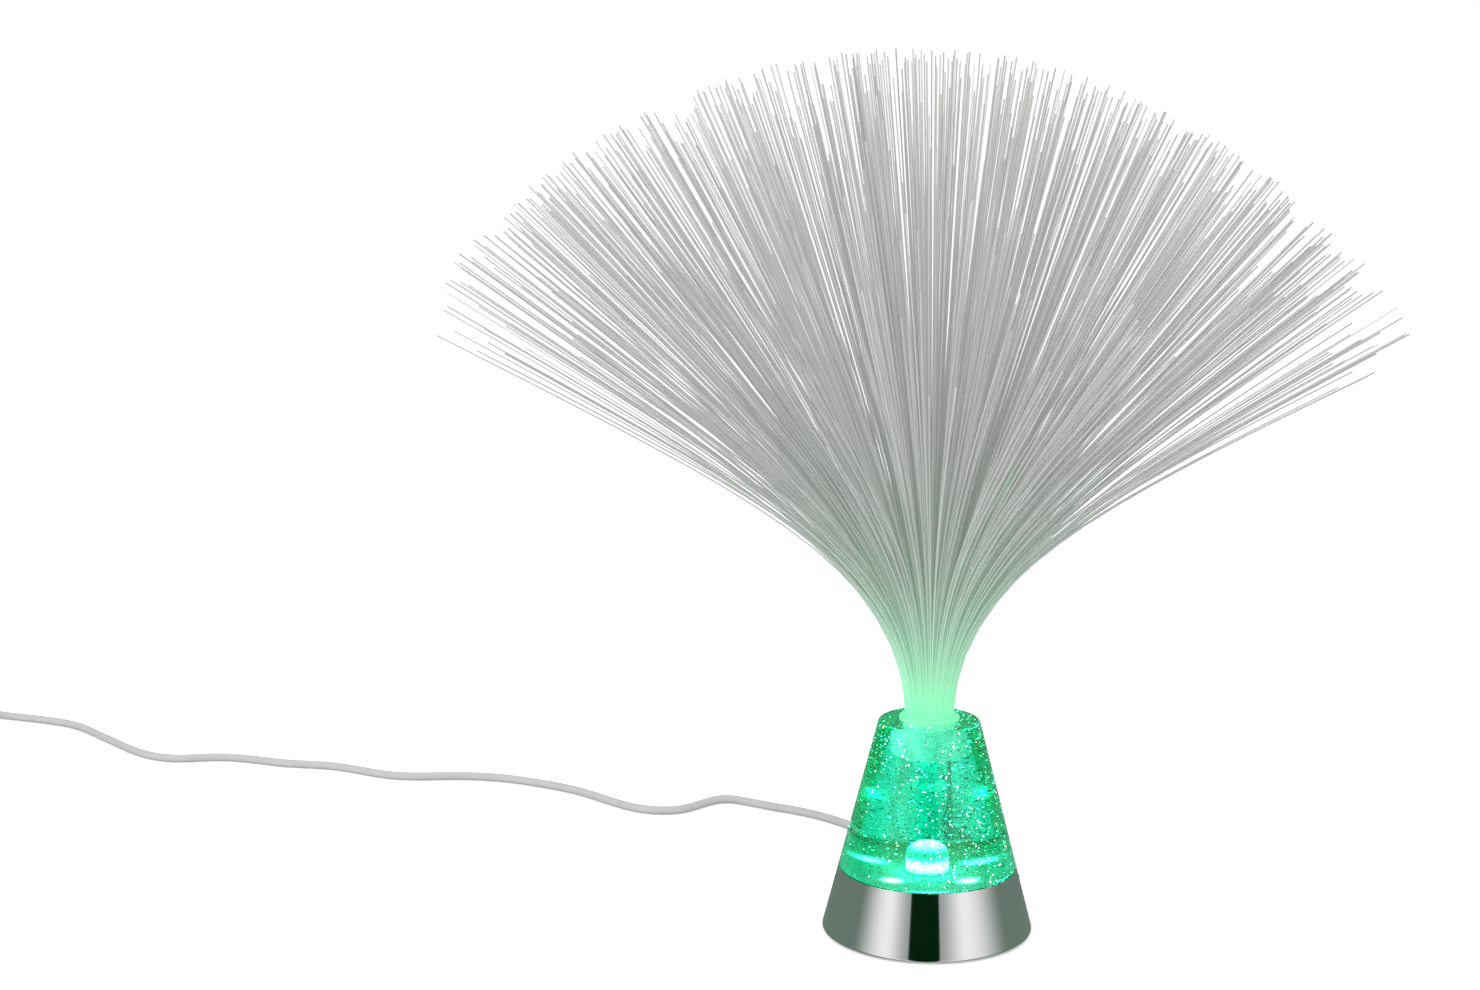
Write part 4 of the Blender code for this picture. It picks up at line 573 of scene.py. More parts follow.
@dataclass(frozen=True)
class CutFilm(Finish):
    """Glitter, cut from metallised polyester film: small mirrors, some of which catch an LED."""

    name: str = "cut_film"
    colour: str = "#f4f7f6"
    roughness: float = 0.18
    metallic: float = 1.0

    def pattern(self, tree: Tree, shader: Node) -> None:
        """Take each flake's colour, a painted shade for some, and its spark, a painted glint of an LED,
        from its vertices.
        """
        tone = attribute(tree, "tone", "Color")
        feed(shader, Base_Color=tone, Emission_Color=tone, Emission_Strength=attribute(tree, "spark"))


@dataclass(frozen=True)
class LightFibre(Finish):
    """Drawn acrylic light fibre: clear strands, grey in bulk, with green light at their roots."""

    name: str = "light_fibre"
    colour: str = "#bebebc"
    greys: tuple[tuple[float, str], ...] = ((0.0, "#a8a9a7"), (0.55, "#bebebc"), (1.0, "#dadad8"))
    roughness: float = 0.32
    ior: float = ACRYLIC_IOR
    lit: str = "#7fe9b2"
    lit_strength: float = 0.52
    carried: float = 0.16  # light that every strand carries and lets out

    def values(self) -> dict:
        """Drawn plastic with a soft gloss."""
        return {**super().values(), "Specular IOR Level": 0.3}

    def pattern(self, tree: Tree, shader: Node) -> None:
        """Vary the strands' grey, and let them glow by how near their vertices are to the lamp."""
        grey = ramped(tree, attribute(tree, "shade"), self.greys)
        glow = attribute(tree, "glow")
        tinted = mixed(tree, glow, grey, linear(self.lit))
        feed(shader, Base_Color=tinted, Emission_Color=tinted)
        feed(shader, Emission_Strength=ranged(tree, glow, self.carried, self.lit_strength))


@dataclass(frozen=True)
class Glowing(Finish):
    """A clear moulding that is lit from inside: its light clouds a little."""

    light: str = "#ffffff"
    light_strength: float = 1.0
    cloud: float = 3 * MM
    cloud_detail: float = 1.0
    swell: float = 0.3

    def values(self) -> dict:
        """The plain values, with the colour of the light."""
        return {**super().values(), "Emission Color": linear(self.light)}

    def pattern(self, tree: Tree, shader: Node) -> None:
        """Let the glow swell and fade a little inside, as flow lines make it."""
        cloud = surface_noise(tree, self.cloud, self.cloud_detail)
        span = (self.light_strength * (1 - self.swell), self.light_strength * (1 + self.swell))
        feed(shader, Emission_Strength=ranged(tree, cloud, *span))


@dataclass(frozen=True)
class LitCollar(Glowing):
    """Clear polycarbonate collar, moulded: the light in the bundle fills it with pale green."""

    name: str = "lit_collar"
    colour: str = "#8fe9b4"
    roughness: float = 0.22
    ior: float = 1.58
    light: str = "#6fe3a0"
    light_strength: float = 0.35
    cloud: float = 2.5 * MM
    cloud_detail: float = 2.0
    swell: float = 0.2

    def values(self) -> dict:
        """The lit values, with some light that goes in and comes out beside."""
        return {**super().values(), "Subsurface Weight": 0.3}


@dataclass(frozen=True)
class GlowingEpoxy(Glowing):
    """Cast epoxy lens of an LED that is lit: the chip's light fills it."""

    name: str = "led_epoxy"
    colour: str = "#e8fff6"
    roughness: float = 0.12
    light: str = "#d8fff2"
    light_strength: float = 6.0


@dataclass(frozen=True)
class MouldedPlastic(Finish):
    """Injection moulded plastic: an even colour with spark eroded grain that breaks the gloss."""

    name: str = "moulded_plastic"
    bump: float = 0.5
    gloss_span: tuple[float, float] = (0.9, 1.12)
    grain: float = 0.5 * MM
    grain_depth: float = 0.03 * MM
    mottle: float = 6 * MM
    mottle_share: float = 0.06

    def pattern(self, tree: Tree, shader: Node) -> None:
        """Add the mould's grain and a faint cloudiness of the colour."""
        self.emboss(tree, shader, surface_noise(tree, self.grain, 1.0), self.grain_depth)
        cloud = surface_noise(tree, self.mottle, 2.0)
        dark, light = (
            (*(min(channel * level, 1) for channel in linear(self.colour)[:3]), 1)
            for level in (1 - self.mottle_share, 1 + self.mottle_share)
        )
        feed(shader, Base_Color=mixed(tree, cloud, dark, light))
        self.vary_gloss(tree, shader, cloud)


@dataclass(frozen=True)
class RolledMetal(Finish):
    """Plated sheet or wire steel: bright, with fine marks from rolling."""

    name: str = "rolled_metal"
    metallic: float = 1.0
    gloss_span: tuple[float, float] = (0.7, 1.4)
    mark: float = 0.25 * MM
    mark_depth: float = 0.01 * MM
    mark_length_share: float = 12.0

    def pattern(self, tree: Tree, shader: Node) -> None:
        """Add fine lines along Y that spread the gloss."""
        marks = surface_noise(tree, self.mark, 2.0, (1, self.mark_length_share, 1))
        self.emboss(tree, shader, marks, self.mark_depth)
        self.vary_gloss(tree, shader, marks)


@dataclass(frozen=True)
class GlassEpoxyBoard(Finish):
    """Glass epoxy circuit board, pressed: the weave shows as a fine grid under the green mask."""

    name: str = "glass_epoxy_board"
    colour: str = "#3f8a61"
    mask: str = "#357a55"
    roughness: float = 0.38
    thread: float = 0.6 * MM  # real threads are 0.4 mm apart, drawn coarser so that they show
    thread_depth: float = 0.02 * MM
    wobble: float = 0.4

    def pattern(self, tree: Tree, shader: Node) -> None:
        """Cross two sets of threads, and let them tint and lift the mask."""
        place = add_node(tree, "ShaderNodeTexCoord").outputs["Object"]
        inputs = {"Vector": place, "Scale": 1 / self.thread / TURN, "Distortion": self.wobble}
        waves = [add_node(tree, "ShaderNodeTexWave", inputs, bands_direction=axis) for axis in ("X", "Y")]
        weave = calculated(tree, "MULTIPLY", *(wave.outputs["Fac"] for wave in waves))
        feed(shader, Base_Color=mixed(tree, weave, linear(self.mask), linear(self.colour)))
        self.emboss(tree, shader, weave, self.thread_depth)


@dataclass(frozen=True)
class PaleFloor(Finish):
    """The studio's floor: white to the camera but for the lamp's soft shadow."""

    name: str = "pale_floor"
    colour: str = "#f4f4f4"
    roughness: float = 1.0
    lift: float = 0.34

    def values(self) -> dict:
        """A matt surface that may glow in white."""
        return {**super().values(), "Specular IOR Level": 0.0, "Emission Color": (1, 1, 1, 1)}

    def pattern(self, tree: Tree, shader: Node) -> None:
        """Glow only where the camera sees it, straight or through the acrylic."""
        path = add_node(tree, "ShaderNodeLightPath").outputs
        seen = calculated(tree, "MAXIMUM", path["Is Camera Ray"], path["Is Transmission Ray"])
        feed(shader, Emission_Strength=ranged(tree, seen, 0.0, self.lift))


LEAD_MOULDING = MouldedPlastic("lead_pvc_moulded", "#c9c7c9", 0.48)
WOVEN_TIE = MouldedPlastic("woven_nylon_tie", "#303030", 0.85, grain=0.45 * MM, grain_depth=0.12 * MM)


def dress_small_parts(frame: dict) -> None:
    """Give a finish to the frame's nodes whose shape stays; each finish lists their names or patterns.

    Args:
        frame: The loaded frame.
    """
    finishes = {
        GlowingEpoxy(): "side_led_*",
        MouldedPlastic("reflector_styrene", "#edf2ef", 0.3, grain=0.4 * MM): "reflector_plate",
        GlassEpoxyBoard(): "led_board",
        MouldedPlastic("moulding_compound", "#2f3031", 0.55, grain=0.2 * MM): "controller_chip resistor_*",
        MouldedPlastic("capacitor_sleeve", "#232a3d", 0.28, grain=1.5 * MM): "capacitor",
        MouldedPlastic("cover_abs", "#454547", 0.58, grain=0.7 * MM): "base_cover",
        RolledMetal("zinc_plate", "#ccccce", 0.3): "*_screw_*",
        MouldedPlastic("switch_moulding", "#262627", 0.5, grain=0.3 * MM): "switch_housing",
        MouldedPlastic("switch_pom", "#f0f0ed", 0.32, grain=0.3 * MM): "switch_knob",
        LEAD_MOULDING: "cord_inner",
        MouldedPlastic("natural_nylon", "#e6e6e0", 0.42, grain=0.4 * MM): "clamp_bar",
        MouldedPlastic("red_wire_pvc", "#bc2727", 0.35): "wire_red",
        MouldedPlastic("black_wire_pvc", "#262627", 0.35): "wire_black switch_wire_*",
        RolledMetal("nickel_plate", "#d6d5d3", 0.22): "plug_shell",
        MouldedPlastic("plug_pbt", "#eeeeea", 0.4, grain=0.3 * MM): "plug_tongue",
        WOVEN_TIE: "coil_tie",
    }
    for finish, patterns in finishes.items():
        for pattern in patterns.split():
            for name in fnmatch.filter(frame["nodes"], pattern):
                mesh = frame["nodes"][name].data
                mesh.materials.clear()
                mesh.materials.append(finish.material())
                LOG.info("node %s dressed with %s", name, finish.name)


# The lamp's own geometry that several sub-assemblies share


@dataclass(frozen=True)
class Flank:
    """The one slanted line that runs up the ring and the clear cone."""

    foot_radius: float
    foot_height: float
    slope: float

    def radius(self, height: float) -> float:
        """Outer radius at a height."""
        return self.foot_radius - self.slope * (height - self.foot_height)

    @classmethod
    def from_frame(cls, ring_edge: float) -> Flank:
        """Read the line from the frame's ring and cone.

        Args:
            ring_edge: Rounding at the ring's foot, above which the ring is widest.

        Returns:
            The line.
        """
        ring_low, ring_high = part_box("base_ring")
        _, cone_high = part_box("clear_cone")
        widest_height = ring_low.z + ring_edge
        seam = ring_high.z + GAP
        slope = (ring_high.x - cone_high.x) / (seam - widest_height)
        return cls(ring_high.x, widest_height, slope)


# Sub-assemblies


@dataclass
class ChromeRing:
    """The flared chrome ring at the foot."""

    wall: float = 2.2 * MM
    foot_edge: float = 0.9 * MM
    rim_edge: float = 0.25 * MM
    lip_wall: float = 2.0 * MM
    ledge_thickness: float = 2.0 * MM
    ledge_bore: float = 25.0 * MM
    ledge_drop: float = 3.1 * MM  # from the rim down to the ledge's top
    lead_hole: float = 3.4 * MM
    lead_height: float = 9.2 * MM
    hole_sides: int = 48
    boss: float = 3.0 * MM
    boss_sides: int = 40
    boss_angles: tuple[int, ...] = (0, 180, 270)
    rib_thickness: float = 1.6 * MM
    rib_reach: float = 6.5 * MM  # from the boss's middle into the wall
    rib_depth: float = 10.0 * MM
    cover_thickness: float = 2.0 * MM
    steps: int = 192

    def add_boss(self, ring: Object, screw: str, angle: float, ledge_bottom: float) -> None:
        """Join a screw boss and its rib to the inside of the ring.

        Args:
            ring: The ring so far.
            screw: The frame's node of the screw that goes into it.
            angle: Degrees round the axis.
            ledge_bottom: Height that the boss reaches up to.
        """
        middle = middle_of(screw)
        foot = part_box(screw)[0].z + self.cover_thickness + GAP
        top = ledge_bottom + self.ledge_thickness / 2
        bm = bmesh.new()
        place = Matrix.Translation((middle.x, middle.y, (foot + top) / 2))
        add_cylinder(bm, self.boss, top - foot, place, self.boss_sides)
        boolean(ring, finished("boss", bm), "UNION")
        rib = bmesh.new()
        half = self.rib_thickness / 2
        made = add_box(rib, (0, -half, top - self.rib_depth), (self.rib_reach, half, top))
        turn = Matrix.Translation((middle.x, middle.y, 0)) @ Matrix.Rotation(math.radians(angle), 4, "Z")
        bmesh.ops.transform(rib, matrix=turn, verts=made)
        boolean(ring, finished("rib", rib), "UNION")

    def build(self, flank: Flank) -> None:
        """Turn the ring, drill it for the lead, join its bosses and dress it.

        Args:
            flank: The slanted line.
        """
        low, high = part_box("base_ring")
        ledge_top = high.z - self.ledge_drop
        ledge_bottom = ledge_top - self.ledge_thickness
        corners = [
            (flank.radius(high.z), high.z, 0),
            (flank.radius(low.z), low.z, self.foot_edge),
            (flank.radius(low.z) - self.wall, low.z, self.rim_edge),
            (flank.radius(ledge_bottom) - self.wall, ledge_bottom, 0),
            (self.ledge_bore, ledge_bottom, self.rim_edge),
            (self.ledge_bore, ledge_top, self.rim_edge),
            (flank.radius(high.z) - self.lip_wall, ledge_top, 0),
            (flank.radius(high.z) - self.lip_wall, high.z, 0),
        ]
        ring = turned("chrome_ring", rounded_outline(corners), self.steps, ends_meet=True)
        bm = bmesh.new()
        place = Matrix.Translation((0, flank.radius(self.lead_height), self.lead_height))
        place = place @ Matrix.Rotation(TURN / 4, 4, "X")
        add_cylinder(bm, self.lead_hole, 4 * self.wall, place, self.hole_sides)
        boolean(ring, finished("lead_drill", bm), "DIFFERENCE")
        for number, angle in enumerate(self.boss_angles, 1):
            self.add_boss(ring, f"cover_screw_{number}", angle, ledge_bottom)
        ring.data.set_sharp_from_angle(angle=math.radians(SHARP_ABOVE))
        fitted(ring, ChromePlate(), Body.BASE, "chrome_ring", "base_ring")


@dataclass
class GlitterCone:
    """The clear cone with its glitter, its socket for the fibres and its pocket for the LED."""

    top_edge: float = 1.5 * MM
    seam_edge: float = 0.35 * MM
    spigot_drop: float = 2.0 * MM
    lip_wall: float = 2.0 * MM
    socket_depth: float = 14.0 * MM
    socket_radius: float = 9.6 * MM
    socket_chamfer: float = 0.4 * MM
    socket_edge: float = 0.3 * MM
    pocket_radius: float = 5.4 * MM
    pocket_headroom: float = 1.2 * MM
    pocket_rows: int = 8
    dome_angles: tuple[int, ...] = (0, 12, 24, 36, 48, 60, 72, 82)
    foot_rings: int = 12
    foot_edge: float = 0.2 * MM
    foot_margin: float = 0.3 * MM  # of the foot that stays polished at its rim
    steps: int = 192
    near: float = 0.05 * MM  # how close to a face counts as on it
    # Light on the sanded faces, from 0 far from the LEDs to 1 beside their chips
    socket_light: float = 0.23
    socket_light_fall: float = 0.05  # from the middle to its right side
    pocket_light: float = 0.2
    foot_light: float = 0.12
    spot_light: float = 0.85
    side_leds: int = 4
    side_spot: float = 3.2 * MM
    chip_height: float = 3.0 * MM
    chip_spot: float = 2.4 * MM
    tip_spot: float = 2.6 * MM
    # Glitter
    flakes: int = 6500
    rim_flakes: int = 70
    rim_reach: tuple[float, float] = (0.5, 1.1)  # mm outside the socket
    rim_drop: float = 2.2 * MM  # from the top down to the row of flakes round the socket
    rim_scatter: float = 0.4
    flake_sizes: tuple[float, float] = (0.2 * MM, 0.56 * MM)
    flake_thickness: float = 0.04 * MM
    flake_sides: int = 6
    flake_margin: float = 0.7 * MM
    spigot_margin: float = 0.5 * MM
    left_share: float = 0.55  # of the flakes kept in the middle; fewer to the left, all at the right
    # draw below which each tone comes; SHADE is a painted shade for flakes that face away from the light
    look_shares: tuple[tuple[float, FlakeTone], ...] = (
        (0.5, FlakeTone.SHADE),
        (0.78, FlakeTone.SILVER),
        (0.91, FlakeTone.ROSE),
        (1.0, FlakeTone.GOLD),
    )
    spark_power: int = 11
    spark_top: float = 34
    seed: int = 5

    def build(self, flank: Flank) -> None:
        """Build the block and what is cast into it."""
        self.add_block(flank)
        self.add_glitter(flank)

    def heights(self) -> dict[str, float]:
        """Heights of the block's faces, from the frame."""
        low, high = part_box("clear_cone")
        return {
            "bottom": low.z,
            "seam": low.z + self.spigot_drop,
            "top": high.z,
            "socket_floor": high.z - self.socket_depth,
            "pocket_top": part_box("centre_led")[1].z + self.pocket_headroom,
        }

    def add_block(self, flank: Flank) -> None:
        """Turn the block and mark its sanded faces.

        Args:
            flank: The slanted line.
        """
        at = self.heights()
        bottom = at["bottom"]
        spigot = flank.radius(at["seam"] - GAP) - self.lip_wall - GAP
        dome_middle = at["pocket_top"] - self.pocket_radius
        rings = np.linspace(spigot - self.foot_margin, self.pocket_radius, self.foot_rings + 2)[1:-1]
        corners = [
            (0, at["socket_floor"], 0),
            (self.socket_radius, at["socket_floor"], self.socket_edge),
            (self.socket_radius, at["top"] - self.socket_chamfer, 0),
            (self.socket_radius + self.socket_chamfer, at["top"], 0),
            (flank.radius(at["top"]), at["top"], self.top_edge),
            (flank.radius(at["seam"]), at["seam"], self.seam_edge),
            (spigot, at["seam"], 0),
            (spigot, bottom, self.foot_edge),
        ]
        outline = rounded_outline([*corners, (rings[0], bottom, 0)], 9)
        outline += [(radius, bottom) for radius in rings[1:]]
        for step in range(self.pocket_rows):
            height = bottom + (dome_middle - bottom) * (step / self.pocket_rows)
            outline.append((self.pocket_radius, height))
        for angle in self.dome_angles:
            x, y = on_circle(self.pocket_radius, angle)
            outline.append((x, dome_middle + y))
        outline.append((0, at["pocket_top"]))
        block = turned("acrylic_cone", outline, self.steps)
        for finish in (CastAcrylic(), SandedAcrylic()):
            block.data.materials.append(finish.material())
        self.sand(block.data, at, spigot)
        fitted(block, CastAcrylic(), Body.BASE, "clear_acrylic", "clear_cone")

    def sand(self, mesh: bpy.types.Mesh, at: dict[str, float], spigot: float) -> None:
        """Mark the matt faces and store how near each vertex is to an LED.

        Args:
            mesh: The acrylic block.
            at: Heights of its faces.
            spigot: Radius of its foot in the ring.
        """
        for face in mesh.polygons:
            reach, height = math.hypot(face.center.x, face.center.y), face.center.z
            in_socket = reach < self.socket_radius + self.near and height > at["socket_floor"] - self.near
            in_pocket = reach < self.pocket_radius + self.near and height < at["pocket_top"] + self.near
            foot = height < at["bottom"] + self.near and reach < spigot - self.foot_margin
            if in_socket or in_pocket or foot:
                face.material_index = 1
        leds = [middle_of(f"side_led_{number}") for number in range(1, self.side_leds + 1)]
        for led in leds:
            led.z = at["bottom"]
        values = [self.light_at(vertex.co, at, leds) for vertex in mesh.vertices]
        mesh.attributes.new("led_light", "FLOAT", "POINT").data.foreach_set("value", values)

    def light_at(self, spot: Vector, at: dict[str, float], leds: list[Vector]) -> float:
        """Light from the LEDs on a spot of the sanded faces.

        Args:
            spot: Where it falls.
            at: Heights of the block's faces.
            leds: Middles of the side LEDs, at the height of the foot.

        Returns:
            The light, from 0 to 1.
        """
        if spot.z > at["socket_floor"] - 2 * self.near:
            return self.socket_light - self.socket_light_fall * spot.x / self.socket_radius
        in_pocket = math.hypot(spot.x, spot.y) < self.pocket_radius + self.near
        if in_pocket and spot.z > at["bottom"] + 2 * self.near:
            tip = bell(spot.z - at["pocket_top"], self.tip_spot)
            chip = bell(spot.z - at["bottom"] - self.chip_height, self.chip_spot)
            return min(self.pocket_light + (1 - self.pocket_light) * max(tip, chip), 1.0)
        nearest = max(bell((spot - led).length, self.side_spot) for led in leds)
        return self.foot_light + self.spot_light * nearest

    def add_glitter(self, flank: Flank) -> None:
        """Cast flakes of film into the block, denser towards +X.

        Args:
            flank: The slanted line.
        """
        at = self.heights()
        dice = random.Random(self.seed)
        sides = self.flake_sides
        verts, faces, tones, sparks = [], [], [], []
        while len(verts) < self.flakes * 2 * sides:
            in_rim = len(verts) < self.rim_flakes * 2 * sides
            spot = self.rim_place(at, dice) if in_rim else self.flake_place(flank, at, dice)
            if spot is None:
                continue
            facing = Vector([dice.gauss(0, 1) for _ in range(3)]).normalized()
            turn = facing.to_track_quat("Z", "Y").to_matrix()
            radius = dice.uniform(*self.flake_sizes) / 2
            first = len(verts)
            for height in (-self.flake_thickness / 2, self.flake_thickness / 2):
                ring = [on_circle(radius, 360 * i / sides) for i in range(sides)]
                verts += [spot + turn @ Vector((*point, height)) for point in ring]
            low = list(range(first, first + sides))
            ahead = [*low[1:], first]
            faces += [low[::-1], [i + sides for i in low]]
            faces += [[i, k, k + sides, i + sides] for i, k in zip(low, ahead)]
            tone, spark = self.flake_look(dice)
            tones += [*linear(tone.value)] * 2 * sides
            sparks += [spark] * 2 * sides
        mesh = bpy.data.meshes.new("glitter_flakes")
        mesh.from_pydata(verts, [], faces)
        mesh.attributes.new("tone", "FLOAT_COLOR", "POINT").data.foreach_set("color", tones)
        mesh.attributes.new("spark", "FLOAT", "POINT").data.foreach_set("value", sparks)
        fitted(linked(bpy.data.objects.new(mesh.name, mesh)), CutFilm(), Body.BASE, "clear_acrylic")

    def rim_place(self, at: dict[str, float], dice: random.Random) -> Vector:
        """Draw a place in the row of flakes round the socket."""
        x, y = on_circle(self.socket_radius + dice.uniform(*self.rim_reach) * MM, 360 * dice.random())
        return Vector((x, y, at["top"] - self.rim_drop + dice.gauss(0, self.rim_scatter) * MM))

    def flake_place(self, flank: Flank, at: dict[str, float], dice: random.Random) -> Vector | None:
        """Draw a place in the block, or nothing where it falls outside or thins out.

        Args:
            flank: The slanted line.
            at: Heights of the block's faces.
            dice: Seeded random source.

        Returns:
            The place or None.
        """
        margin = self.flake_margin
        height = dice.uniform(at["bottom"] + margin, at["top"] - margin)
        reach = flank.radius(at["seam"])
        x, y = dice.uniform(-reach, reach), dice.uniform(-reach, reach)
        out = math.hypot(x, y)
        limit = flank.radius(max(height, at["seam"])) - margin
        if height < at["seam"]:
            limit -= self.lip_wall + self.spigot_margin
        in_socket = height > at["socket_floor"] - margin and out < self.socket_radius + margin
        in_pocket = height < at["pocket_top"] + margin and out < self.pocket_radius + margin
        thin = dice.random() > self.left_share + (1 - self.left_share) * x / reach
        if out > limit or in_socket or in_pocket or thin:
            return None
        return Vector((x, y, height))

    def flake_look(self, dice: random.Random) -> tuple[FlakeTone, float]:
        """Draw a flake's colour and how much of an LED it catches.

        Args:
            dice: Seeded random source.

        Returns:
            The colour, and the strength of its spark.
        """
        draw = dice.random()
        tone = next(tone for share, tone in self.look_shares if draw < share)
        if tone is FlakeTone.SHADE:
            return tone, 0.0
        return tone, dice.random() ** self.spark_power * self.spark_top


@dataclass
class DomedLed:
    """The round LED in the middle that lights the fibres."""

    lens: float = 5.0 * MM
    flange: float = 5.5 * MM
    flange_height: float = 1.5 * MM
    rows: int = 12
    steps: int = 64

    def build(self) -> None:
        """Turn the dome and its flange."""
        low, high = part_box("centre_led")
        dome_middle = high.z - self.lens
        dome = [on_circle(self.lens, 90 - 90 * i / self.rows) for i in range(self.rows + 1)]
        outline = [(x, dome_middle + y) for x, y in dome]
        outline[0] = (0, high.z)
        foot = [
            (self.lens, dome_middle, 0),
            (self.lens, low.z + self.flange_height, 0.15 * MM),
            (self.flange, low.z + self.flange_height, 0.3 * MM),
            (self.flange, low.z, 0.2 * MM),
            (0, low.z, 0),
        ]
        led = turned("domed_led", outline + rounded_outline(foot, 4)[1:], self.steps)
        fitted(led, GlowingEpoxy(), Body.BASE, "led_lens", "centre_led")


@dataclass
class RubberFeet:
    """The four stick-on feet under the cover."""

    feet: int = 4
    foot: float = 4.0 * MM
    foot_edge: float = 0.35 * MM
    dish: float = 2.4 * MM
    dish_depth: float = 0.15 * MM
    steps: int = 64

    def build(self) -> None:
        """Turn every foot."""
        for number in range(1, self.feet + 1):
            self.add_foot(f"foot_{number}")

    def add_foot(self, node: str) -> None:
        """Turn one stick-on foot, round at its edge and hollowed where it meets the table.

        Args:
            node: The frame's node that it stands for.
        """
        low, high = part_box(node)
        middle = middle_of(node)
        height = high.z - low.z
        corners = [
            (0, height, 0),
            (self.foot, height, 0.1 * MM),
            (self.foot, 0, self.foot_edge),
            (self.dish, 0, 0.1 * MM),
            (self.dish - self.dish_depth, self.dish_depth, 0.1 * MM),
            (0, self.dish_depth, 0),
        ]
        foot = turned(f"rubber_{node}", rounded_outline(corners, 6), self.steps)
        foot.data.transform(Matrix.Translation((middle.x, middle.y, low.z)))
        rubber = MouldedPlastic("foot_rubber", "#303030", roughness=0.82, grain=0.4 * MM)
        fitted(foot, rubber, Body.BASE, "foot_rubber", node)


@dataclass
class StrainRelief:
    """The moulded strain relief in the ring's back."""

    neck: float = 3.1 * MM
    flange: float = 4.2 * MM
    flange_thickness: float = 1.3 * MM
    root: float = 3.4 * MM
    tip: float = 2.4 * MM
    tail: float = 18.0 * MM
    hub: float = 2.0 * MM
    grooves: int = 3
    groove_depth: float = 0.4 * MM
    height: float = 9.2 * MM
    steps: int = 72

    def build(self) -> None:
        """Turn it along the lead."""
        low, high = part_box("cord_gland")
        wall_out = high.y - self.tail - self.flange_thickness
        wall_in = low.y + self.hub + self.flange_thickness
        pitch = self.tail / (self.grooves + 1)
        corners = [(0, high.y, 0), (self.tip, high.y, 0.5 * MM)]
        for number in range(1, self.grooves + 1):
            for offset, depth in ((0.25, 0), (0.25, 1), (-0.25, 1), (-0.25, 0)):
                along = high.y - (number - offset) * pitch
                radius = self.tip + (self.root - self.tip) * (high.y - along) / self.tail
                corners.append((radius - depth * self.groove_depth, along, 0.15 * MM))
        corners += [
            (self.root, wall_out + self.flange_thickness, 0.3 * MM),
            (self.flange, wall_out + self.flange_thickness, 0.4 * MM),
            (self.flange, wall_out, 0.15 * MM),
            (self.neck, wall_out, 0),
            (self.neck, wall_in, 0),
            (self.flange, wall_in, 0.15 * MM),
            (self.flange, wall_in - self.flange_thickness, 0.3 * MM),
            (self.tip, wall_in - self.flange_thickness, 0.2 * MM),
            (self.tip, low.y, 0.3 * MM),
            (0, low.y, 0),
        ]
        relief = turned("strain_relief", rounded_outline(corners, 4), self.steps)
        lying = Matrix.Rotation(-TURN / 4, 4, "X")
        relief.data.transform(Matrix.Translation((0, 0, self.height)) @ lying)
        fitted(relief, LEAD_MOULDING, Body.BASE, "cord_pvc", "cord_gland")


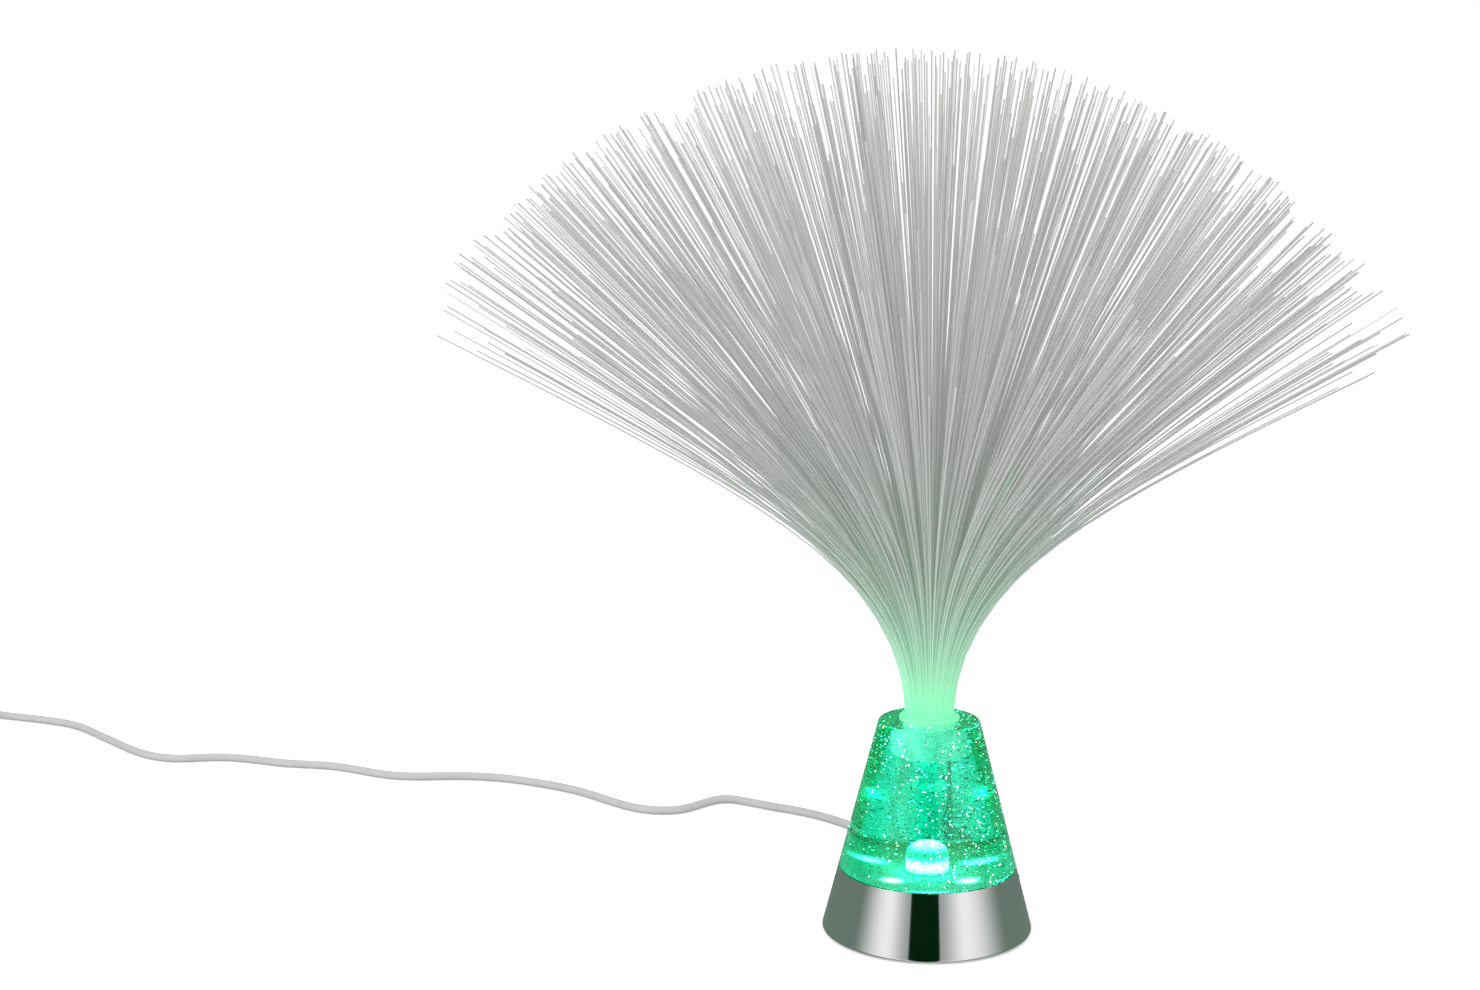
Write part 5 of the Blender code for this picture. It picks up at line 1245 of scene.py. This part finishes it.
@dataclass
class LeadPlug:
    """The grip and the contacts of the flat plug at the lead's far end."""

    width: float = 13.5 * MM
    thickness: float = 7.8 * MM
    length: float = 23.0 * MM
    shoulder: float = 4.0 * MM
    shoulder_steps: int = 8
    tail_width: float = 5.0 * MM
    ribs: int = 6
    rib_pitch: float = 2.0 * MM
    rib_depth: float = 0.45 * MM
    rib_flatness: float = 0.4  # depth of the ribs on the flat sides, as a share
    contacts: int = 4
    contact_pitch: float = 2.4 * MM
    contact_size: tuple[float, float, float] = (1.1 * MM, 9.0 * MM, 0.12 * MM)
    front_edge: float = 0.7 * MM
    rib_shape: tuple[tuple[float, float], ...] = (
        (0.0, 0.0), (0.12, 0.6), (0.25, 1.0), (0.45, 1.0), (0.58, 0.6), (0.7, 0.0)
    )  # share of the pitch, share of the depth
    tail_edge: tuple[tuple[float, float], ...] = (
        (0.5 * MM, 0.0), (0.15 * MM, 0.2 * MM), (0.0, 0.5 * MM)
    )  # distance from the end, how much smaller
    squareness: float = 5.0  # of the grip's sections
    roundness: float = 2.2  # of the tail's
    sharp_above: float = 50
    contact_start: float = 0.8 * MM
    contact_lift: float = 0.02 * MM
    contact_edge: float = 0.04 * MM
    corners: int = 48

    def build(self) -> None:
        """Loft the grip and lay the contacts."""
        self.add_grip()
        self.add_contacts()

    def sections(self) -> list[tuple[float, float, float, float]]:
        """Distance from the front face, half width, half height and squareness of the grip's sections."""
        wide, high, narrow = self.width / 2, self.thickness / 2, self.tail_width / 2
        square, edge = self.squareness, self.front_edge
        sections = []
        for degrees in (0, 30, 60, 90):
            back, out = on_circle(edge, degrees)
            sections.append((edge - back, wide - edge + out, high - edge + out, square))
        first = (self.length - self.ribs * self.rib_pitch) / 2 + 1 * MM
        for number in range(self.ribs):
            start = first + number * self.rib_pitch
            for share, depth in self.rib_shape:
                sunk = self.rib_depth * depth
                along, above = start + share * self.rib_pitch, high - self.rib_flatness * sunk
                sections.append((along, wide - sunk, above, square))
        for i in range(self.shoulder_steps + 1):
            ease = eased(i / self.shoulder_steps)
            along = self.length + self.shoulder * i / self.shoulder_steps
            across, above = wide + (narrow - wide) * ease, high + (narrow - high) * ease
            sections.append((along, across, above, square + (self.roundness - square) * ease))
        low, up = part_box("plug_grip")
        for before_end, shrink in self.tail_edge:
            sections.append((up.y - low.y - before_end, narrow - shrink, narrow - shrink, self.roundness))
        return sections

    def add_grip(self) -> None:
        """Loft the grip through its sections, each a rectangle with soft corners."""
        middle = middle_of("plug_grip")
        middle.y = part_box("plug_grip")[0].y
        bm = bmesh.new()
        rings = []
        for along, wide, up, squareness in self.sections():
            ring = []
            for i in range(self.corners):
                x, y = on_circle(1, 360 * i / self.corners)
                across = math.copysign(abs(x) ** (2 / squareness), x) * wide
                above = math.copysign(abs(y) ** (2 / squareness), y) * up
                ring.append(bm.verts.new(middle + Vector((across, along, above))))
            rings.append(ring)
        for ring, after in zip(rings, rings[1:]):
            for i in range(self.corners):
                k = (i + 1) % self.corners
                bm.faces.new((ring[i], ring[k], after[k], after[i]))
        bm.faces.new(rings[0])
        bm.faces.new(rings[-1])
        grip = finished("grip", bm, self.sharp_above)
        pvc = MouldedPlastic("plug_pvc", "#c9c7c9", roughness=0.46, grain=0.5 * MM)
        fitted(grip, pvc, Body.BASE, "cord_pvc", "plug_grip")

    def add_contacts(self) -> None:
        """Lay the gold contacts on the tongue."""
        low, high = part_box("plug_tongue")
        middle = (low.x + high.x) / 2
        width, length, thickness = self.contact_size
        start, floor = low.y + self.contact_start, high.z + self.contact_lift
        bm = bmesh.new()
        for number in range(self.contacts):
            at = middle + (number - (self.contacts - 1) / 2) * self.contact_pitch
            end = (at + width / 2, start + length, floor + thickness)
            add_box(bm, (at - width / 2, start, floor), end)
        contacts = soften(finished("plug_contacts", bm), self.contact_edge, 2)
        gold = RolledMetal("gold_plate", "#e3c16f", roughness=0.2)
        fitted(contacts, gold, Body.BASE, "plug_steel")


@dataclass
class LeadRoute:
    """The lead's line on the table: the free stretch, the coil of what is put away, and the tail."""

    diameter: float = 3.5 * MM
    exit_height: float = 9.2 * MM
    lift: float = 0.1 * MM
    spacing: float = 3.0 * MM
    level_run: float = 7.0 * MM  # straight out of the strain relief
    fall_run: float = 17.5 * MM  # from the strain relief to where it nears the table
    fall_sag: float = 0.4 * MM
    fall_shift: float = 0.9 * MM
    table_points: tuple[tuple[float, float], ...] = (
        (-0.004, 0.084), (-0.010, 0.098), (-0.017, 0.110), (-0.025, 0.122), (-0.034, 0.132),
        (-0.045, 0.141), (-0.057, 0.148), (-0.068, 0.155), (-0.078, 0.159), (-0.088, 0.152),
        (-0.099, 0.143), (-0.110, 0.143), (-0.122, 0.150), (-0.134, 0.162), (-0.146, 0.173),
        (-0.162, 0.183), (-0.180, 0.191), (-0.203, 0.194), (-0.226, 0.194), (-0.242, 0.201),
        (-0.260, 0.210), (-0.280, 0.214), (-0.299, 0.221), (-0.316, 0.224), (-0.334, 0.222),
        (-0.348, 0.228), (-0.363, 0.243), (-0.379, 0.262), (-0.395, 0.279), (-0.411, 0.288),
        (-0.432, 0.296),
    )
    coil_centre: tuple[float, float] = (-0.4651, 0.2826)
    coil_radius: float = 20.0 * MM
    turn_gap: float = 0.5 * MM
    start_angle: float = 70
    end_angle: float = 180
    whole_turns: int = 4
    points_a_turn: int = 72
    reversal_dip: float = 1.0 * MM
    tie_thickness: float = 0.6 * MM

    def coil_point(self, turned_angle: float, climb_start: float) -> Vector:
        """Centre of the coiled lead after it has turned by an angle, in degrees.

        Args:
            turned_angle: Angle since the coil's start.
            climb_start: Angle at which it climbs to the upper layer.

        Returns:
            The point; it spirals in below, reverses in half a turn and spirals out above.
        """
        pitch = self.diameter + self.turn_gap
        outer = self.coil_radius + pitch * climb_start / 360 / 2
        inner = outer - pitch * climb_start / 360
        low = self.tie_thickness + GAP + self.diameter / 2
        if turned_angle <= climb_start:
            radius, height = outer - pitch * turned_angle / 360, low
        elif turned_angle < climb_start + 180:
            share = (turned_angle - climb_start) / 180
            radius = inner - self.reversal_dip * math.sin(math.pi * share)
            height = low + pitch * eased(share)
        else:
            radius, height = inner + pitch * (turned_angle - climb_start - 180) / 360, low + pitch
        x, y = on_circle(radius, self.start_angle + turned_angle)
        return Vector((self.coil_centre[0] + x, self.coil_centre[1] + y, height))

    def heading(self, degrees: float) -> Vector:
        """Direction of travel round the coil at an angle."""
        x, y = on_circle(1, degrees)
        return Vector((-y, x, 0))

    def coil(self) -> list[Vector]:
        """Centre line of the whole coil, straight for one diameter at both ends."""
        whole = 360 * self.whole_turns + self.end_angle - self.start_angle
        climb_start = (whole - 180) / 2
        count = round(whole / 360 * self.points_a_turn)
        points = [self.coil_point(whole * i / count, climb_start) for i in range(count + 1)]
        before = points[0] - self.heading(self.start_angle) * self.diameter
        after = points[-1] + self.heading(self.end_angle) * self.diameter
        return [before, *points, after]

    def free(self, start: Vector) -> list[Vector]:
        """Centre line from the strain relief down to the table and along it to the coil.

        Args:
            start: Where the lead leaves the strain relief.

        Returns:
            Its points.
        """
        rest = self.diameter / 2 + self.lift
        fall = [
            start,
            start + Vector((0, self.level_run, -self.fall_sag)),
            start + Vector((-self.fall_shift, self.fall_run, rest - self.exit_height + self.diameter)),
        ]
        lying = [Vector((x, y, rest)) for x, y in self.table_points]
        end = self.coil()[0] - self.heading(self.start_angle) * GAP
        before = end - self.heading(self.start_angle) * 2 * self.diameter
        points = smooth_curve([*fall, *lying, before, end], self.spacing)
        for point in points:
            point.z = max(point.z, rest)
        return points

    def tail(self, plug: Vector) -> list[Vector]:
        """Centre line from the coil's end down to the plug.

        Args:
            plug: Middle of the grip's end.

        Returns:
            Its points.
        """
        start = self.coil()[-1] + Vector((0, -GAP, 0))
        down = Vector((0, -self.diameter, 0))
        return smooth_curve([start, start + down, start.lerp(plug, 0.5), plug - down, plug], self.spacing)


def smooth_curve(route: list[Vector], spacing: float) -> list[Vector]:
    """Read points at even steps from a natural cubic spline through a route.

    Args:
        route: Points that the curve goes through.
        spacing: Wanted distance between the points that are read.

    Returns:
        The points, the route's two ends among them.
    """
    knots = np.array([tuple(p) for p in route], dtype=float)
    at = np.concatenate([[0], np.cumsum(np.linalg.norm(np.diff(knots, axis=0), axis=1))])
    steps = np.diff(at)
    count = len(at)
    rows = np.eye(count)
    right = np.zeros((count, 3))
    for i in range(1, count - 1):
        rows[i, i - 1 : i + 2] = steps[i - 1], 2 * (steps[i - 1] + steps[i]), steps[i]
        slope = (knots[i + 1] - knots[i]) / steps[i] - (knots[i] - knots[i - 1]) / steps[i - 1]
        right[i] = 6 * slope
    bends = np.linalg.solve(rows, right)
    samples = max(2, round(at[-1] / spacing)) + 1
    points = []
    for place_on in np.linspace(0, at[-1], samples):
        i = min(int(np.searchsorted(at, place_on, side="right")) - 1, count - 2)
        step, back, ahead = steps[i], at[i + 1] - place_on, place_on - at[i]
        bent = (bends[i] * back**3 + bends[i + 1] * ahead**3) / (6 * step)
        straight = (knots[i] / step - bends[i] * step / 6) * back
        straight = straight + (knots[i + 1] / step - bends[i + 1] * step / 6) * ahead
        points.append(Vector(bent + straight))
    return points


@dataclass
class FreeLead:
    """The lead from the strain relief to its plug, with its coil and tie."""

    route: LeadRoute = field(default_factory=LeadRoute)

    def build(self) -> None:
        exit_point = Vector((0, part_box("cord_gland")[1].y + GAP, self.route.exit_height))
        plug = middle_of("plug_grip")
        plug.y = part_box("plug_grip")[1].y + GAP
        line = [*self.route.free(exit_point), *self.route.coil(), *self.route.tail(plug)]
        curve = bpy.data.curves.new("lead", "CURVE")
        curve.dimensions = "3D"
        curve.bevel_depth = self.route.diameter / 2
        curve.bevel_resolution = 5
        curve.use_fill_caps = True
        spline = curve.splines.new("POLY")
        spline.points.add(len(line) - 1)
        for spot, point in zip(spline.points, line):
            spot.co = (*point, 1)
        spline.use_smooth = True
        lead = linked(bpy.data.objects.new("lead", curve))
        finish = MouldedPlastic("lead_pvc", "#c9c7c9", roughness=0.42, grain=0.8 * MM)
        fitted(lead, finish, Body.BASE, "cord_pvc", "cord_free", "cord_coil", "cord_tail")


@dataclass(frozen=True)
class Strand:
    """One light fibre: where it stands in the bundle and how it leaves it."""

    root: tuple[float, float]
    heading: float  # radians, the way it bends
    drift: float  # radians that its heading turns by towards its tip
    tilt: float  # degrees from upright at its tip
    length: float
    shade: float
    glint_place: float
    glint: float


@dataclass
class FibreHead:
    """The spray of light fibres and its collar, which lift out together."""

    bundle: float = 9.3 * MM
    collar_edge: float = 0.6 * MM
    collar_steps: int = 160
    strand: float = 0.29 * MM
    spacing: float = 0.508 * MM
    reach: float = 249.5 * MM
    bend_length: float = 52 * MM
    bend_power: float = 1.15
    even_tilt: float = 56.0
    edge_tilt: float = 5.5
    edge_power: float = 12.0
    clumps: int = 150
    centre_pull: float = 0.10
    edge_pull: float = 0.50
    tilt_jitter: float = 0.7
    swing_jitter: float = 0.7
    drift: float = 3.0
    ragged: float = 0.012
    edge_ragged: float = 0.07
    right_short: float = 0.08  # strands that lean to the right are this share shorter
    glow_length: float = 32 * MM
    glint_share: float = 14 / 1150  # of the strands let a green glint out on their way
    glint_places: tuple[float, float] = (35, 120)  # mm from the collar
    glint_length: float = 9 * MM
    glint_strengths: tuple[float, float] = (0.5, 0.9)
    shade_spread: float = 0.22
    least_lean: float = 0.2  # below which an upright strand's swing grows no more
    edge_ragged_power: int = 8
    stop_power: float = 1.25  # draws the rings of a strand together near the collar
    sides: int = 5
    stops: int = 18
    fine_steps: int = 96
    sectors: int = 6
    seed: int = 21
    # Limits and heights that build() reads from the frame
    side_limit: float = 0.0
    top_limit: float = 0.0
    foot_height: float = 0.0
    exit_height: float = 0.0

    def build(self) -> None:
        """Build the collar and the six tufts of the spray."""
        self.add_collar()
        self.read_frame()
        dice = random.Random(self.seed)
        centres = [self.spot_in_disc(dice) for _ in range(self.clumps)]
        tufts = [[] for _ in range(self.sectors)]
        for root in self.lattice():
            sector = int((math.atan2(root.y, root.x) % TURN) / TURN * self.sectors)
            tufts[sector].append(self.strand_from(root, centres, dice))
        LOG.info("%d light fibres", sum(len(tuft) for tuft in tufts))
        for number, tuft in enumerate(tufts, 1):
            obj = self.tuft_object(f"light_fibres_{number}", tuft)
            fitted(obj, LightFibre(), Body.HEAD, "light_fibre", f"fibre_tuft_{number}")

    def read_frame(self) -> None:
        """Read from the frame how far the spray may reach, and where its strands stand."""
        boxes = [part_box(f"fibre_tuft_{number}") for number in range(1, self.sectors + 1)]
        reaches = [max(high[axis] for _, high in boxes) for axis in (0, 1)]
        reaches += [-min(low[axis] for low, _ in boxes) for axis in (0, 1)]
        self.side_limit = min(reaches)
        self.top_limit = max(high.z for _, high in boxes)
        self.foot_height = min(low.z for low, _ in boxes)
        collar_low, collar_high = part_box("bundle_collar")
        self.exit_height = (collar_low.z + collar_high.z) / 2

    def add_collar(self) -> None:
        """Turn the clear collar that the fibres stand in."""
        low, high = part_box("bundle_collar")
        bore = self.bundle + GAP
        corners = [
            (bore, low.z, 0),
            (bore, high.z, 0.3 * MM),
            (high.x, high.z, self.collar_edge),
            (high.x, low.z, 0.2 * MM),
            (bore + 0.2 * MM, low.z, 0),
        ]
        collar = turned("collar", rounded_outline(corners, 7), self.collar_steps, ends_meet=True)
        fitted(collar, LitCollar(), Body.HEAD, "collar", "bundle_collar")

    def spot_in_disc(self, dice: random.Random) -> Vector:
        """Draw a spot in the bundle's cross section."""
        x, y = on_circle(self.bundle * math.sqrt(dice.random()), 360 * dice.random())
        return Vector((x, y))

    def lattice(self) -> list[Vector]:
        """Places of the strands, packed like a honeycomb."""
        rows = int(self.bundle / (self.spacing * math.sin(TURN / 6))) + 1
        places = []
        for row in range(-rows, rows + 1):
            y = row * self.spacing * math.sin(TURN / 6)
            for column in range(-rows - 1, rows + 2):
                place = Vector((self.spacing * (column + row % 2 / 2), y))
                if place.length < self.bundle - self.strand:
                    places.append(place)
        return places

    def strand_from(self, root: Vector, centres: list[Vector], dice: random.Random) -> Strand:
        """Decide how the strand at a place in the bundle bends.

        Args:
            root: Place in the bundle.
            centres: Middles of the clumps; a strand leans towards the nearest one's heading.
            dice: Seeded random source.

        Returns:
            The strand.
        """
        nearest = min(centres, key=lambda centre: (centre - root).length)
        pull = self.centre_pull + (self.edge_pull - self.centre_pull) * root.length / self.bundle
        leaning = root.lerp(nearest, pull)
        share = min(leaning.length / (self.bundle - self.strand), 1.0)
        tilt = self.even_tilt * share + self.edge_tilt * share**self.edge_power
        tilt = min(tilt + dice.gauss(0, self.tilt_jitter), self.even_tilt + self.edge_tilt + 1)
        lean = max(math.sin(math.radians(abs(tilt))), self.least_lean)
        swing = dice.gauss(0, math.radians(self.swing_jitter)) / lean
        shortness = abs(dice.gauss(0, self.ragged))
        shortness += dice.random() * self.edge_ragged * share**self.edge_ragged_power
        shortness += self.right_short * max(leaning.x, 0) / self.bundle
        drift = math.radians(dice.uniform(-self.drift, self.drift))
        return Strand(
            root=tuple(root),
            heading=math.atan2(leaning.y, leaning.x) + swing,
            drift=drift,
            tilt=tilt,
            length=self.reach * (1 - shortness),
            shade=min(max(dice.gauss(0.5, self.shade_spread), 0), 1),
            glint_place=dice.uniform(*self.glint_places) * MM,
            glint=dice.uniform(*self.glint_strengths) if dice.random() < self.glint_share else 0.0,
        )

    def strand_line(self, strand: Strand) -> tuple[np.ndarray, np.ndarray]:
        """Centre line of a strand and the distance from the collar of each of its points.

        Args:
            strand: The strand.

        Returns:
            Points and distances; the first two points are the straight foot in the socket.
        """
        far = np.linspace(0, strand.length, self.fine_steps + 1)
        middle = (far[1:] + far[:-1]) / 2
        lean = math.radians(strand.tilt) * (1 - np.exp(-((middle / self.bend_length) ** self.bend_power)))
        heading = strand.heading + strand.drift * (middle / strand.length) ** 2
        step = strand.length / self.fine_steps
        aside = np.sin(lean)
        travel = np.stack([aside * np.cos(heading), aside * np.sin(heading), np.cos(lean)], 1)
        start = np.array([[*strand.root, self.exit_height]])
        line = np.concatenate([start, start + np.cumsum(travel, 0) * step])
        line, far = self.kept_inside(line, far)
        at = far[-1] * np.linspace(0, 1, self.stops) ** self.stop_power
        read = np.stack([np.interp(at, far, line[:, axis]) for axis in range(3)], 1)
        foot = np.array([[*strand.root, self.foot_height]])
        return np.concatenate([foot, read]), np.concatenate([[0.0], at])

    def kept_inside(self, line: np.ndarray, far: np.ndarray) -> tuple[np.ndarray, np.ndarray]:
        """Trim a strand where it would leave the frame's box.

        Args:
            line: Its points.
            far: Their distances from the collar.

        Returns:
            The points and distances that stay.
        """
        beside = np.abs(line[:, :2]).max(1) < self.side_limit - self.strand
        inside = beside & (line[:, 2] < self.top_limit - self.strand)
        last = len(line) if inside.all() else int(np.argmin(inside))
        return line[:last], far[:last]

    def tuft_object(self, name: str, strands: list[Strand]) -> Object:
        """Build the strands of one tuft as closed tubes with their glow and shade.

        Args:
            name: Name of the piece.
            strands: The tuft's strands.

        Returns:
            The object.
        """
        around = (np.arange(self.sides) * TURN / self.sides)[None, :, None]
        cosines, sines = np.cos(around), np.sin(around)
        rows = self.stops + 1
        verts, glow, shade = [], [], []
        for strand in strands:
            line, at = self.strand_line(strand)
            along = np.gradient(line, axis=0)
            along /= np.linalg.norm(along, axis=1)[:, None]
            side = np.array([-math.sin(strand.heading), math.cos(strand.heading), 0.0])
            across = np.cross(side, along)
            ring = cosines * side + sines * across[:, None, :]
            verts.append((line[:, None, :] + ring * self.strand).reshape(-1, 3))
            lit = np.exp(-at / self.glow_length)
            lit = lit + strand.glint * np.exp(-(((at - strand.glint_place) / self.glint_length) ** 2))
            glow.append(np.repeat(np.clip(lit, 0, 1), self.sides))
            shade.append(np.full(rows * self.sides, strand.shade))
        first = np.arange(len(strands))[:, None, None] * rows * self.sides
        row = np.arange(rows - 1)[None, :, None] * self.sides
        corner = np.arange(self.sides)[None, None, :]
        ahead = (corner + 1) % self.sides
        here, there = first + row + corner, first + row + ahead
        quads = np.stack([here, there, there + self.sides, here + self.sides], -1).reshape(-1, 4)
        a_strand = rows * self.sides
        starts = range(0, len(strands) * a_strand, a_strand)
        feet = [[i + k for k in reversed(range(self.sides))] for i in starts]
        tips = [[i + a_strand - self.sides for i in reversed(foot)] for foot in feet]
        mesh = bpy.data.meshes.new(name)
        mesh.from_pydata(np.concatenate(verts).tolist(), [], quads.tolist() + feet + tips)
        mesh.shade_smooth()
        for carried, values in (("glow", glow), ("shade", shade)):
            store = mesh.attributes.new(carried, "FLOAT", "POINT")
            store.data.foreach_set("value", np.concatenate(values))
        return linked(bpy.data.objects.new(name, mesh))


@dataclass
class Studio:
    """Camera, light and floor round the lamp; none of it is part of the lamp."""

    camera_place: tuple[float, float, float] = (-71.2 * MM, -954.0 * MM, 347.8 * MM)
    camera_pitch: float = 10.66  # degrees below level
    sensor: float = 36.0
    frame_width: int = 1480
    focal_pixels: float = 2623.0
    floor_half_width: float = 30.0
    daylight: float = 0.78
    surroundings: float = 1.22  # strength of all that the metal mirrors
    room: str = "#66766c"
    dark_flag: str = "#021d0b"
    flag_span: tuple[float, float] = (-19.0, 15.0)  # degrees round from the camera
    flag_edge: float = 0.4
    flag_rim: str = "#9a9f9d"
    soft_boxes: tuple[tuple[float, float, float, str], ...] = (
        (-45.0, 42.0, 30.0, "#efecec"),  # middle, reach to its left and to its right in degrees, colour
        (45.0, 30.0, 56.0, "#eeecec"),
    )
    lamps: tuple[tuple[str, tuple[float, float, float], float, float], ...] = (
        ("key_light", (-0.9, -1.1, 1.5), 1.2, 14.0),  # name, place, side of the square, watts
        ("rim_light", (1.1, 0.9, 1.3), 0.8, 6.0),
    )
    lit_spot: tuple[float, float, float] = (0, 0, 0.15)

    def build(self) -> None:
        """Set up the whole studio."""
        self.add_camera()
        self.add_world()
        self.add_floor()
        for lamp in self.lamps:
            self.add_lamp(*lamp)
        bpy.context.scene.view_settings.view_transform = "Standard"

    def add_camera(self) -> None:
        """Put the camera where the photograph was taken from."""
        data = bpy.data.cameras.new("camera")
        data.sensor_width = self.sensor
        data.lens = self.focal_pixels / self.frame_width * self.sensor
        data.clip_start = 0.01
        data.clip_end = 100
        camera = linked(bpy.data.objects.new("camera", data))
        camera.location = self.camera_place
        camera.rotation_euler = (math.radians(90 - self.camera_pitch), 0, 0)
        bpy.context.scene.camera = camera

    def add_world(self) -> None:
        """Soft white light; polished metal mirrors soft boxes, a dark flag and a dim room instead."""
        world = bpy.data.worlds.new("studio")
        bpy.context.scene.world = world
        world.use_nodes = True
        tree = world.node_tree
        background = tree.nodes["Background"]
        path = add_node(tree, "ShaderNodeLightPath").outputs
        feed(background, Strength=ranged(tree, path["Is Diffuse Ray"], 1.0, self.daylight))
        glossy, passed = path["Is Glossy Ray"], path["Is Transmission Ray"]
        mirrored = calculated(tree, "SUBTRACT", glossy, passed, clamp=True)
        feed(background, Color=mixed(tree, mirrored, (1, 1, 1, 1), self.add_surroundings(tree)))

    def add_surroundings(self, tree: Tree) -> Socket:
        """Colour of the soft boxes, the flag and the room by the angle round from the camera's side.

        Args:
            tree: The world's nodes.

        Returns:
            The colour.
        """
        camera_side = math.atan2(self.camera_place[1], self.camera_place[0])
        direction = add_node(tree, "ShaderNodeTexCoord").outputs["Generated"]
        inputs = {"Vector": direction, "Rotation": (0, 0, -camera_side)}
        faced = add_node(tree, "ShaderNodeMapping", inputs).outputs["Vector"]
        parts = add_node(tree, "ShaderNodeSeparateXYZ", {"Vector": faced}).outputs
        angle = calculated(tree, "ARCTAN2", parts["Y"], parts["X"])
        inputs = {"Value": angle, "From Min": -TURN / 2, "From Max": TURN / 2}
        turn = add_node(tree, "ShaderNodeMapRange", inputs)
        left, right = self.flag_span
        stops = []
        for middle, to_left, to_right, colour in self.soft_boxes:
            stops += [(middle - to_left, self.room), (middle, colour), (middle + to_right, self.room)]
        stops = [stop for stop in stops if not left <= stop[0] <= right]
        stops += [(left, self.dark_flag), (right, self.dark_flag)]
        stops += [(left - self.flag_edge, self.flag_rim), (right + self.flag_edge, self.flag_rim)]
        stops = [(0.5 + degrees / 360, colour) for degrees, colour in sorted(stops)]
        tones = ramped(tree, turn.outputs["Result"], stops, "EASE")
        inputs = {0: tones, "Scale": self.surroundings}
        return add_node(tree, "ShaderNodeVectorMath", inputs, operation="SCALE").outputs["Vector"]

    def add_floor(self) -> None:
        """Pale floor: white to the camera but for the lamp's soft shadow."""
        bm = bmesh.new()
        bmesh.ops.create_grid(bm, x_segments=1, y_segments=1, size=self.floor_half_width)
        floor = finished("floor", bm)
        floor.data.materials.append(PaleFloor().material())
        floor.visible_glossy = False

    def add_lamp(self, name: str, place: tuple[float, float, float], size: float, power: float) -> None:
        """Hang a square soft box that lights the lamp's middle.

        Args:
            name: Name of the light.
            place: Where it hangs.
            size: Side of the square.
            power: Watts.
        """
        data = bpy.data.lights.new(name, "AREA")
        data.size = size
        data.energy = power
        light = linked(bpy.data.objects.new(name, data))
        light.location = place
        towards = Vector(self.lit_spot) - Vector(place)
        light.rotation_euler = towards.to_track_quat("-Z", "Y").to_euler()
        light.visible_glossy = False
        light.visible_transmission = False


def main() -> None:
    """Build the lamp's looks in order."""
    logging.basicConfig(level=logging.INFO, format="%(name)s: %(message)s")
    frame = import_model()
    LOG.info("%d nodes in the frame", len(frame["nodes"]))
    Studio().build()
    FreeLead().build()
    ring = ChromeRing()
    flank = Flank.from_frame(ring.foot_edge)
    ring.build(flank)
    GlitterCone().build(flank)
    for part in (DomedLed(), RubberFeet(), StrainRelief(), LeadPlug(), FibreHead()):
        part.build()
    dress_small_parts(frame)


if __name__ == "__main__":
    main()
